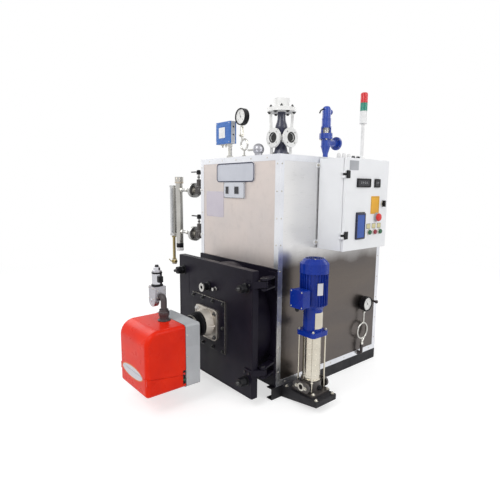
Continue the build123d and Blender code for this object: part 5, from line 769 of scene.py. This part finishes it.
coil = [
    (471, 336, 192), (463, 374, 224), (459, 402, 262), (459, 404, 306),
    (462, 378, 338), (465, 335, 350), (467, 294, 334), (469, 276, 300),
]
Piece("feed_coil", "gauge_steel").sweep(coil, 7, 24).done()

# Pressure switch
Piece("switch_body", "switch_grey").box((-327.1, -492, 1707.6), (-148.9, -455, 1865.6)).done(1.0)
Piece("switch_label", "paper_white").slab((-248, -502.6, 1788), FRONT, 75, 76, 0.6, 3).done(0.1)
ribs = Piece("switch_ribs", "switch_blue")
for index in range(8):
    ribs.slab((-238, -501, 1722 + index * 18.9), FRONT, 168, 8, 1.5, 3)
ribs.done(0.5)
marks = [((-148.9, -473, z), RIGHT, [(6, 0), (6, 3), (4, 4)], 6) for z in (1770, 1826)]
turned("switch_marks", "knob_black", 0.2, *marks)
nipples = Piece("switch_nipples", "zinc")
stub = [(11, 0), (11, 7), (9, 8), (7, 8), (7, 20), (5.5, 22)]
nipples.dots([(x, -468, 1708) for x in (-286, -244)], DOWN, stub, 24)
corners = [(x, -502.2, z) for x in (-314, -162) for z in (1720, 1853)]
nipples.dots(corners, FRONT, [(4.2, 0), (4, 1), (2, 2)])
nipples.done(0.4)

# Steam valve: studs of the bonnet plate and the base, core, cap, ring faces and port necks
VALVE = (160, -290)
PORT_AT, BASE_AT, BONNET_AT = (*VALVE, 1732), (*VALVE, 1618), (*VALVE, 1934)
bolts = Piece("valve_bolts", "dark_bolt")
bolts.bolts(BONNET_AT, UP, 84, 6, 17, 0.26, stud=5)
bolts.bolts((*VALVE, 1908), DOWN, 84, 6, 17, 0.26, height=9)
bolts.bolts(BASE_AT, UP, 69, 4, 15, math.pi / 2, stud=5)
bolts.done(0.5)
foot = [(86, 0), (86, 14), (83, 17.8), (56, 18.4)]
turned("valve_base_plate", "valve_white", 0.8, ((*VALVE, 1600), UP, foot, 56))
core = [
    (50, 0.4), (52.4, 1), (47, 26), (40, 58), (35, 92), (33, 118), (33, 138),
    (36, 158), (42, 176), (43.5, 186), (41, 200), (33, 224), (29, 243), (28, 289.6),
]
Piece("valve_core", "valve_black").lathe(BASE_AT, UP, core, 56).done(0.4, ("steam_valve_body",))
turned("valve_cap", "valve_white", 0.6, (BONNET_AT, UP, [(66, 0), (66, 6), (60, 9), (57, 12)], 56))
gasket = Piece("valve_gaskets", "ink")
for origin, direction in (((160, -370, 1732), FRONT), ((258, -290, 1732), RIGHT)):
    gasket.pipe(origin, direction, 36, 25.6, 1.0, 56)
    gasket.lathe(at(origin, direction, 0, 0, -9), direction, [(25.6, 0), (25.6, 1)], 48)
gasket.done(0.2)
turned(
    "port_necks", "valve_white", 0.3,
    (PORT_AT, FRONT, [(33, 31), (30, 38), (30, 46), (36, 56), (46, 64.4)], 48),
    (PORT_AT, RIGHT, [(33, 31), (30, 40), (29, 60), (33, 74), (46, 82.4)], 48),
)

# Safety valve: spring in its yoke under a sleeve, flange bolts, lever
SAFETY = (233, 100)
SAFETY_X, SAFETY_Y = SAFETY
FLANGE_AT = (*SAFETY, 1792)
spring = Piece("safety_spring", "gauge_steel")
spring.lathe(FLANGE_AT, UP, [(24, 0), (24, 3), (20, 5), (20, 36), (23, 38), (23, 46)])
coils, rise, count = 4, 32, 96
helix = []
for index in range(count + 1):
    angle = 2 * math.pi * coils * index / count
    x, y = SAFETY_X + 21 * math.cos(angle), SAFETY_Y + 21 * math.sin(angle)
    helix.append((x, y, 1797 + rise * index / count))
spring.sweep(helix, 2.4, 10)
spring.done()
turned(
    "safety_sleeve", "safety_blue", 0.6,
    ((*SAFETY, 1838), UP, [(30, 0), (33.5, 3), (33.5, 52), (31, 55)], 48),
    *(((SAFETY_X + step, SAFETY_Y + step, 1790), UP, [(8, 0), (8, 50)], 20) for step in (-21, 21)),
)
turned("safety_gasket", "ink", 0.2, ((*SAFETY, 1770.6), UP, [(46, 0), (46, 2.8)], 48))
bolts = Piece("safety_bolts", "zinc")
bolts.bolts(FLANGE_AT, UP, 39, 4, 12, 0.78, stud=4)
bolts.bolts((*SAFETY, 1752), DOWN, 39, 4, 12, 0.78, height=6)
bolts.done(0.4)
lever = Piece("safety_lever", "knob_black")
lever.sweep([(SAFETY_X, y, z) for y, z in ((84, 1962), (60, 1964), (34, 1950), (22, 1930))], 5, 16)
lever.lathe((SAFETY_X, 144, 1950), REAR, [(6, 0), (6, 6), (4.6, 8)], 6)
lever.done(0.5)
turned(
    "safety_rings", "safety_blue", 0.5,
    ((*SAFETY, 1600), UP, [(33, 0), (33, 12), (28, 16), (20, 18)], 6, 0.1),
    ((*SAFETY, 1696), UP, [(34.5, 0), (36.5, 2), (36.5, 8), (34.5, 10)], 48),
    ((*SAFETY, 1892), UP, [(34, 0), (34, 8), (31.4, 10)], 48),
)

# Level gauge: flange bolts, cock bodies, lever hubs, cap, bands, rail window and drain valve
LEVEL_Y, COCK_X, DRAIN_X = -540, -506, -907
CHAMBER, DRAIN = (-807, LEVEL_Y), (DRAIN_X, LEVEL_Y)
RAIL_Y, RAIL_Z = -557, 1187.5
bolts = Piece("level_bolts", "dark_bolt")
rings = Piece("level_flange_rings", "zinc")
bodies = Piece("cock_bodies", "pump_iron")
unions = Piece("level_unions", "gauge_steel")
casting = [(18, 0), (26, 1), (31, 5), (31, 61), (26, 65), (19, 67), (17, 76), (17, 118)]
for z in (1017, 1366):
    for x, turn in ((-586, LEFT), (-554, RIGHT)):
        bolts.bolts((x, LEVEL_Y, z), turn, 45, 4, 14, math.pi / 4, stud=3, washer=False)
        rings.lathe((x, LEVEL_Y, z), turn, [(30, 0), (30, 3), (22, 5), (20, 14)])
    rings.lathe((-571.2, LEVEL_Y, z), RIGHT, [(58.4, 0), (58.4, 2.4)], 64)
    bodies.lathes(
        ((COCK_X, LEVEL_Y, z - 33), UP, casting),
        ((COCK_X, LEVEL_Y, z + 98), UP, [(9, 0), (12, 2), (12, 8), (9, 10)], 6),
        ((COCK_X + 30, LEVEL_Y, z), RIGHT, [(28, -6), (28, 6), (18, 14), (15, 38)], 36),
    )
    unions.lathes(
        ((-CASE_X, LEVEL_Y, z), LEFT, [(30, 0), (30, 5), (24, 7), (24, 12)], 6),
        ((-778, LEVEL_Y, z), RIGHT, [(19, -5), (19, 18), (15, 22)], 6),
        ((-682, LEVEL_Y, z), RIGHT, [(12, -12), (17, -10), (17, 10), (12, 12)], 6),
    )
bolts.done(0.4)
rings.done(0.4)
bodies.done(1.0)
unions.done(0.6)
hub = [(14, 0), (15, 2), (15, 7), (12, 10), (6, 11)]
for name, z in (("upper_cock_lever", 1514), ("lower_cock_lever", 1165)):
    turned(name + "_hub", "hinge_black", 0.4, ((COCK_X, LEVEL_Y, z), UP, hub, 32), body=name)
turned(
    "chamber_cap", "nickel_tan", 0.8,
    ((*CHAMBER, 1421), UP, [(35, 0), (36.6, 2), (36.6, 12)], 48),
    ((*CHAMBER, 1433), UP, [(33, 0), (36.5, 2), (36.5, 36), (33, 42)], 8, 0.39),
)
foot = [(29.2, 0), (30.4, 2), (30.4, 36), (29.2, 38)]
turned("chamber_foot", "knob_black", 0.5, ((*CHAMBER, 877), UP, foot, 48))
band = [(29.2, 0), (31, 2), (31, 24), (29.2, 26)]
turned("chamber_band", "paper_white", 0.5, ((*CHAMBER, 850.4), UP, band, 48))
scale = Piece("rail_face", "rail_silver")
scale.slab((DRAIN_X - 4, RAIL_Y, RAIL_Z), FRONT, 42, 396, 1.6, 4)
for z in (978, 1397):
    scale.slab((DRAIN_X, RAIL_Y, z), FRONT, 66, 15, 2.4, 3)
scale.done(0.6)
glass = Piece("rail_window", "display_black")
glass.slab((-900, RAIL_Y - 1.6, RAIL_Z), FRONT, 7, 380, 0.6, 3)
glass.slab((-881, RAIL_Y, RAIL_Z), FRONT, 6, 396, 0.5)
glass.done(0.2)
spots = [(x, RAIL_Y - 2.4, z) for z in (978, 1397) for x in (-927, -887)]
Piece("rail_screws", "zinc").dots(spots, FRONT, [(4, 0), (3.8, 0.8), (2, 1.4)]).done()
cock = [
    (9, -0.2), (9, 6), (21, 8), (22.6, 10), (22.6, 36), (20, 40), (16, 42), (16, 54), (13, 56),
]
drain = Piece("drain_tube", "brass").lathes(
    ((*DRAIN, 762), UP, [(12.5, 0), (12.5, 208)], 32),
    ((*DRAIN, 956), UP, [(19, 0), (19, 11), (16, 13)], 6),
    ((*DRAIN, 719.2), UP, cock, 6),
    ((DRAIN_X - 28, LEVEL_Y, 743), RIGHT, [(14, 0), (17, 3), (17, 53), (14, 56)], 8, 0.39),
)
drain.sweep([(DRAIN_X, y, z) for y, z in ((-560, 741), (-574, 745), (-592, 767))], 3.6, 14)
drain.done(0.6)

# Furnace door: knobs with washers, sight glass, painted highlights along the burner plate's top and right
# edges, bolts and hinge straps
DOOR_FACE_Y, DOOR_MID_Z, KNOB_X, KNOB_STEP = -768, 471.5, 372, 304.5
SIGHT_X, SIGHT_Z = -45, 708
knob_spots = [(x, DOOR_MID_Z + z) for x in (-KNOB_X, KNOB_X) for z in (-KNOB_STEP, KNOB_STEP)]
washers = Piece("knob_washers", "knob_black", DOOR)
knobs = Piece("knob_hexes", "knob_black", DOOR)
threads = Piece("knob_threads", "dark_bolt", DOOR)
grip = [(27, 0), (31, 3), (31, 18), (28.6, 21), (28.6, 46), (24, 52), (14, 55)]
for x, z in knob_spots:
    washers.lathe((x, DOOR_FACE_Y, z), FRONT, [(36, 0), (36, 4), (34, 5)])
    knobs.lathe((x, DOOR_FACE_Y - 5, z), FRONT, grip, 6)
    for step in range(7):
        threads.lathe((x, -828.5 - step * 3, z), FRONT, [(9.1, 0), (10.2, 1.2), (10.2, 1.8), (9.1, 3)], 20)
washers.done(0.5)
knobs.done(1.2)
threads.done()
ring = Piece("sight_ring", "sight_steel", DOOR)
ring.pipe((SIGHT_X, DOOR_FACE_Y - 50, SIGHT_Z), FRONT, 30, 13.4, 10.4)
ring.lathe((50, DOOR_FACE_Y, SIGHT_Z), FRONT, [(14, 0), (14, 10), (12, 12), (12, 30), (9, 33.6)], 6)
ring.done(0.8)
body = Piece("sight_body", "knob_black", DOOR)
body.lathe((SIGHT_X, DOOR_FACE_Y, SIGHT_Z), FRONT, [(33, 0), (33, 8), (24, 12), (24, 49)], 48)
body.bolts((SIGHT_X, DOOR_FACE_Y - 8, SIGHT_Z), FRONT, 28.5, 3, 7, 0.5, washer=False)
body.done(0.6)
Piece("sight_pane", "display_black", DOOR).rod((SIGHT_X, -813, SIGHT_Z), FRONT, 12.9, 4).done()
# Painted highlight: bright zinc strips on the burner plate's top and right edges stand for light caught by
# its chamfers
edges = Piece("burner_plate_edge_highlights", "zinc", DOOR)
edges.box((-236.5, -780.4, 636), (157.7, DOOR_FACE_Y, 637.2))
edges.box((156.5, -780.4, 272), (157.7, DOOR_FACE_Y, 637.2))
edges.done(0.2)
bolts = Piece("burner_plate_bolts", "dark_bolt", DOOR)
for xs, zs in (((-218, 138), (290, 454, 618)), ((-100, 20), (290, 618))):
    for x, z in ((x, z) for x in xs for z in zs):
        bolts.bolt((x, -780, z), FRONT, 17, stud=4)
bolts.done(0.4)
door = Piece("door_frame_bars", "black_steel", DOOR)
door.rim((0, DOOR_FACE_Y, DOOR_MID_Z), FRONT, (860, 829), (842, 811), 1.4, 6, 4)
door.slab((-300, DOOR_FACE_Y, 700), FRONT, 3, 180, 1.2, 1)
bolts = Piece("hinge_bolts", "dark_bolt", DOOR)
heads = Piece("hinge_pin_heads", "dark_bolt")
for z in (228, 800):
    door.slab((392, DOOR_FACE_Y, z), FRONT, 76, 44, 7, 6)
    for x in (370, 412):
        bolts.bolt((x, DOOR_FACE_Y - 7, z), FRONT, 13, stud=2, washer=False)
    heads.lathe((445, -690, z + 32), UP, [(16, 0), (16, 6), (13, 8)], 32)
door.done(0.8)
bolts.done(0.4)
heads.done(0.5)
rope = Piece("rope_gasket", "rope", DOOR)
rope.sweep([(x, -684, 475 + z) for x, z, _ in round_ring(366, 0, turns_of(120))], 5.5, 12, True)
rope.done()


def weld(piece, x, z, profile, segments, ripple, waves):
    """A wavy bead round a tube in the tube plate."""
    rings = []
    for radius, height in profile:
        angles = turns_of(segments)
        wavy = [height + ripple * math.sin(waves * angle) for angle in angles]
        rings.append([(radius * math.cos(a), radius * math.sin(a), h) for a, h in zip(angles, wavy)])
    piece.add((x, -655, z), FRONT, rings, False)


TUBE_PITCH = 103.68
FIRE_X, FIRE_Z = -42, 454
welds = Piece("tube_welds", "weld_grey")
for z, count in ((699.6, 5), (788.0, 3)):
    for column in range(count):
        bead = [(28.4, 0), (31.0, 2.6), (34.4, 2.2), (36.6, 0)]
        weld(welds, TUBE_PITCH * (column - (count - 1) / 2), z, bead, 40, 0.2, 9)
weld(welds, FIRE_X, FIRE_Z, [(155.4, 0), (158, 4), (165, 4.4), (171, 0)], 90, 0.3, 23)
welds.done()

# Burner: flange bolts, snout rings, casing screws, hood seam and the switch recess
CASING_X = 147.5
flange = Piece("flange_bolts", "dark_bolt", DOOR)
# Painted highlight: the upper left flange bolt is made white, a glint on its head put into its colour
white = Piece("flange_bolt_painted_glint", "paper_white", DOOR)
lip = Piece("flange_lip", "cast_flange", DOOR)
lip.rim((FIRE_X, -794, FIRE_Z), FRONT, (260, 219), (244, 203), 4.5, 34, 26)
for x, z, piece in ((-148, 370, flange), (64, 370, flange), (64, 538, flange), (-148, 538, white)):
    piece.bolt((x, -794, z), FRONT, 19, stud=5)
    lip.lathe((x, -794, z), FRONT, [(19, -1), (17, 2)], 32)
flange.done(0.4)
white.done(0.4)
lip.done(1.8)
turned(
    "snout_rings", "knob_black", 0.6,
    ((FIRE_X, -853, FIRE_Z), FRONT, [(86.5, 0), (88.5, 3), (88.5, 9), (86.5, 12)], 64),
    ((FIRE_X, -955, FIRE_Z), FRONT, [(70.5, 0), (80, 6), (80, 13.6)], 64),
    body=DOOR,
)
clamp = Piece("snout_clamp", "zinc", DOOR)
clamp.lathe((FIRE_X, -908, FIRE_Z), FRONT, [(70.6, 0), (71.8, 0.6), (71.8, 12), (70.6, 12.6)], 64)
clamp.bolt((FIRE_X + 50, -914, FIRE_Z + 53), (0.7, 0, 0.7), 9, washer=False)
clamp.done(0.3)
corners = [(x, z) for x in (-200, 120) for z in (170, 495)]
casing = Piece("casing_details", "burner_grey", DOOR)
casing.slab((-40, -969, 332), REAR, 330, 360, 5, 30)
casing.dots([(x, -974, z) for x, z in corners], REAR, [(13, -1), (12, 4)], 28)
for step in range(10):
    y = -1066 + step * 9.2
    casing.slab((CASING_X, y, 460), RIGHT, 3.4, 132, 1.6, 1)
    casing.slab((-40, y, 537), UP, 344, 3.4, 1.6, 1)
casing.done(0.8)
screws = Piece("casing_screws", "zinc", DOOR)
screws.dots([(x, -970, z) for x, z in corners], REAR, [(6, 0), (6, 4), (4, 6)], 6)
for x, turn in ((CASING_X, RIGHT), (-227.5, LEFT)):
    screws.dots([(x, -1060, z) for z in (190, 330, 470)], turn, [(6, 0), (5.6, 1.4), (3, 2.6)], 20)
screws.done()
outline = rounded(376.4, 410.4, 15, 8)
Piece("hood_seam", "ink", DOOR).add((-40, 0, 332.5), FRONT, flat_rings(outline, 1073.4, 1076.6), False).done()
recess = Piece("switch_recess", "knob_black", DOOR)
recess.box((139.8, -1096.6, 154.4), (141.2, -1075.2, 245.6))
recess.box((141.0, -1096.6, 154.4), (147.0, -1095.4, 245.6))
recess.done(0.2)
button = [(8, 0), (8, 4), (6.5, 6), (3, 6.6)]
for name, look, z in (("reset_red", "stop_red", 222), ("lamp_green", "push_green", 182)):
    turned(name, look, 0.0, ((141, -1086, z), RIGHT, button, 28), body=DOOR)

# Gas valve: ribbed governor, coil, rings and caps; union under it
GAS = (-116, -1125)
GAS_X, GAS_Y = GAS
GAS_FRONT_Y = GAS_Y - 42
valve = Piece("gas_details", "valve_grey", DOOR)
rib = [(40.2, 0), (42.5, 0.8), (42.5, 2.6), (40.2, 3.4)]
valve.dots([(GAS_X, GAS_FRONT_Y + 33 - step * 5.6, 658) for step in range(6)], FRONT, rib, 48)
valve.lathe((GAS_X, GAS_FRONT_Y, 658), FRONT, [(36, -1), (30, 2), (12, 3), (10, 6)])
valve.slab((-74, GAS_Y, 704), RIGHT, 60, 60, 4, 8)
valve.done(0.6)
bolts = Piece("gas_screws", "zinc", DOOR)
spots = [((-70, y, z), RIGHT) for y in (-1149, -1101) for z in (680, 728)]
spots += [((x, GAS_FRONT_Y, z), FRONT) for x in (-146, -86) for z in (672, 742)]
for spot, turn in spots:
    bolts.bolt(spot, turn, 8, 5, False)
bolts.done(0.3)
turned(
    "gas_coil", "knob_black", 0.5,
    ((*GAS, 750.3), UP, [(38, 0), (38, 8), (34, 12), (33, 14)], 48),
    ((*GAS, 832), UP, [(33, 0), (34.4, 2), (34.4, 9), (33, 11)], 48),
    ((*GAS, 876), UP, [(12, 0), (12, 10), (9, 14.2)], 28),
    body=DOOR,
)
turned(
    "gas_shell", "die_bright", 0.6,
    ((*GAS, 764), UP, [(32.4, 0), (32.4, 68)], 48),
    ((*GAS, 850), UP, [(27, -6), (27, 2), (21.6, 4), (21.6, 22), (18, 26)], 6),
    body=DOOR,
)
plug = Piece("gas_plug", "knob_black", DOOR)
plug.slab((-84.6, GAS_Y, 800), RIGHT, 34, 40, 22, 3)
plug.lathe((-63, GAS_Y, 800), RIGHT, [(6, 0), (6, 8)], 20)
plug.done(1.0)
union = [
    (34, 0), (34, 10), (27, 12), (27, 30), (34, 32), (35, 34), (35, 58), (31, 62), (24, 64), (24, 74),
]
turned(
    "gas_union", "iron_pipe", 0.9,
    ((-32, GAS_Y, 537), UP, union, 8, 0.2),
    ((-32, GAS_Y, 537), UP, [(42, 0), (42, 5), (38, 7)]),
    body=DOOR,
)

# Pump: bolts, port faces, plugs, sleeve rings, nameplate, fan cover, terminal lid and gland
PUMP = (600, -403)
PUMP_X, PUMP_Y = PUMP
PORT_Z = 127
signs = [(sx, sy) for sx in (-1, 1) for sy in (-1, 1)]
ports = ((PUMP_Y - 96, FRONT), (PUMP_Y + 96, REAR))
bolts = Piece("pump_bolts", "zinc")
for sx, sy in signs:
    bolts.bolt((PUMP_X + sx * 59, PUMP_Y + sy * 59, 492), UP, 13, stud=4)
    bolts.bolt((PUMP_X + sx * 84, PUMP_Y + sy * 68, 94), UP, 14, stud=3)
    bolts.bolt((PUMP_X + sx * 59, PUMP_Y + sy * 59, 160.5), UP, 11, 5)
for y, turn in ports:
    for step in (-37.5, 37.5):
        bolts.bolt((PUMP_X + step, y, PORT_Z), turn, 15, stud=2)
bolts.done(0.4)
port = Piece("port_faces", "zinc")
for y, turn in ports:
    port.pipe((PUMP_X, y, PORT_Z), turn, 27, 16.4, 1.6, 40)
port.done(0.4)
plug = [(17, 0), (17, 6), (13, 8), (13, 18), (11, 20)]
plugs = [((PUMP_X + x, PUMP_Y, 118), turn, plug, 6) for x, turn in ((68, RIGHT), (-68, LEFT))]
turned("pump_plugs", "knob_black", 0.6, *plugs)
sleeve = Piece("sleeve_rings", "pump_steel")
collar, crease = [(58.3, 0), (62, 1.5), (62, 10), (58.3, 11.6)], [(58.1, 0), (58.7, 1), (58.7, 2), (58.1, 3)]
sleeve.dots([(*PUMP, z) for z in (160, 448)], UP, collar, 64)
sleeve.dots([(*PUMP, 196 + step * 36) for step in range(7)], UP, crease, 64)
sleeve.done(0.3)
arc = [math.radians(angle) for angle in (-34, -28, -22, -16, -10)]
outline = round_ring(91.6, 0, arc) + round_ring(90.2, 0, reversed(arc))
plate = Piece("pump_nameplate", "label_silver")
plate.add((*PUMP, 0), UP, [[(x, y, z) for x, y, _ in outline] for z in (736, 812)])
plate.done()
cover = [(92.6, 0), (94, 2), (94, 60), (90, 66), (64, 92.8), (60, 93)]
turned("fan_cover", "pump_blue", 2.0, ((*PUMP, 864), UP, cover, 8, math.pi / 8))
grille = Piece("fan_grille", "pump_blue")
for radius in (14, 26, 38, 50):
    grille.pipe((*PUMP, 956.4), UP, radius + 2.4, radius - 2.4, 1.0)
grille.done()
caps = Piece("motor_screws", "zinc")
for x, y, _ in round_ring(62, 0, turns_of(4, math.pi / 4)):
    caps.bolt((PUMP_X + x, PUMP_Y + y, 957), UP, 8, 3, False)
caps.done()
Piece("terminal_lid", "pump_blue").slab((PUMP_X, -552, 716), FRONT, 110, 118, 9, 10).done(2.4)
corners = [(x, -561, z) for x in (556, 644) for z in (668, 764)]
Piece("terminal_screws", "zinc").dots(corners, FRONT, [(5, 0), (4.8, 1.2), (2.6, 2.4)], 18).done()
turned(
    "motor_gland", "hinge_black", 0.5,
    ((574, -524, 660), DOWN, [(17, 0), (17, 9), (15, 10)], 6),
    ((574, -524, 650), DOWN, [(14, 0), (14, 12), (11, 20), (7, 24), (6, 22)], 32),
)
bolts = Piece("platform_bolts", "zinc")
for x, y in ((x, y) for x in (470, 728) for y in (-495, -337)):
    bolts.bolt((x, y, 80), UP, 14, stud=3)
bolts.done(0.4)

# Right side: feed riser's elbow and nut, stub's plug, bracket bolts
turned(
    "riser_details", "iron_pipe", 0.6,
    ((470, 335, 150), UP, [(15, 0), (15, 22), (13, 24)], 6),
    ((CASE_X, 335, 100), RIGHT, [(17, 0), (17, 8), (15, 10), (15, 16)], 32),
    ((470, 513, 489), RIGHT, [(9.6, -10), (14, -8), (14, 6), (12, 8)], 6),
)
bolts = Piece("bracket_bolts", "zinc")
for y, z in ((y, z) for z in (1027, 1543) for y in (-217, 293)):
    bolts.bolt((443.5, y, z), RIGHT, 12, stud=2)
bolts.done(0.4)

# Floor: white to the camera, with the shadow kept, fading to plain white far away. Only mirrored rays
# see its darker zone behind the object, which gives bright metal its dark edges.
FLOOR_HALF, FLOOR_DROP = 30.0, 0.0005
FADE_FROM, FADE_TO = 2.2, 6.0
ZONE_SIDE = (-0.765, 0.644, 0.0)
floor_mesh = bpy.data.meshes.new("floor")
corners = [(FLOOR_HALF * x, FLOOR_HALF * y, 0) for x, y in ((-1, -1), (1, -1), (1, 1), (-1, 1))]
floor_mesh.from_pydata(corners, [], [(0, 1, 2, 3)])
floor = bpy.data.objects.new("floor", floor_mesh)
floor.location.z = -FLOOR_DROP
bpy.context.scene.collection.objects.link(floor)
ground = bpy.data.materials.new("pale_floor")
ground.use_nodes = True
tree = ground.node_tree
tree.nodes.clear()
path = wire(tree, "LightPath")
glow = wire(tree, "Emission", Strength=0.62)[0]
shadowed = wire(tree, "BsdfDiffuse", Color=(0.5, 0.5, 0.5, 1))[0]
plain = wire(tree, "BsdfDiffuse", Color=(0.8, 0.8, 0.8, 1))[0]
seen = wire(tree, "AddShader", glow, shadowed)[0]
spot = wire(tree, "TexCoord")["Object"]
reach = wire(tree, "VectorMath", spot, operation="LENGTH")["Value"]
fade = wire(tree, "MapRange", reach, From_Min=FADE_FROM, From_Max=FADE_TO)["Result"]
faded = wire(tree, "MixShader", fade, seen, wire(tree, "Emission")[0])[0]
aside = wire(tree, "VectorMath", spot, operation="NORMALIZE")["Vector"]
behind = wire(tree, "VectorMath", aside, ZONE_SIDE, operation="DOT_PRODUCT")["Value"]
zone = wire(tree, "MapRange", behind, From_Min=0.40, From_Max=0.66, To_Max=0.8)["Result"]
start = wire(tree, "MapRange", reach, From_Min=1.2, From_Max=2.0)["Result"]
shade = wire(tree, "Math", zone, start, operation="MULTIPLY")[0]
mirrored = wire(tree, "Math", shade, path["Is Glossy Ray"], operation="MULTIPLY")[0]
flagged = wire(tree, "MixShader", mirrored, faded, wire(tree, "Emission", Strength=0.03)[0])[0]
either = wire(tree, "Math", path["Is Camera Ray"], path["Is Glossy Ray"], operation="MAXIMUM")[0]
wire(tree, "OutputMaterial", wire(tree, "MixShader", either, plain, flagged)[0])
floor_mesh.materials.append(ground)
floor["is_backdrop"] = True

# World and lamps
world = bpy.data.worlds.new("studio")
bpy.context.scene.world = world
world.use_nodes = True
tree = world.node_tree
tree.nodes.clear()
path = wire(tree, "LightPath")
ambient, backdrop = (wire(tree, "Background", Color=(1, 1, 1, 1), Strength=power)[0] for power in (0.55, 1.0))
first = wire(tree, "Math", path["Is Camera Ray"], path["Is Glossy Ray"], operation="MAXIMUM")[0]
second = wire(tree, "Math", first, path["Is Transmission Ray"], operation="MAXIMUM")[0]
wire(tree, "OutputWorld", wire(tree, "MixShader", second, ambient, backdrop)[0])

for name, place, aim, spread, power in (
    ("key", (0.6, -4.2, 4.2), (0, -0.2, 0.9), 2.6, 105),
    ("right", (4.6, 0.6, 3.4), (0.3, 0, 1.0), 2.4, 70),
    ("left", (-4.4, -1.2, 3.0), (-0.3, 0, 1.0), 2.4, 45),
    ("rear", (0.5, 4.6, 3.6), (0, 0.3, 1.0), 2.6, 55),
):
    lamp = bpy.data.lights.new(name, "AREA")
    lamp.size = spread
    lamp.energy = power
    holder = bpy.data.objects.new(name, lamp)
    holder.location = place
    holder.rotation_euler = (Vector(aim) - Vector(place)).to_track_quat("-Z", "Y").to_euler()
    bpy.context.scene.collection.objects.link(holder)

corners = {"cad": cad_box, "visual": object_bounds()}
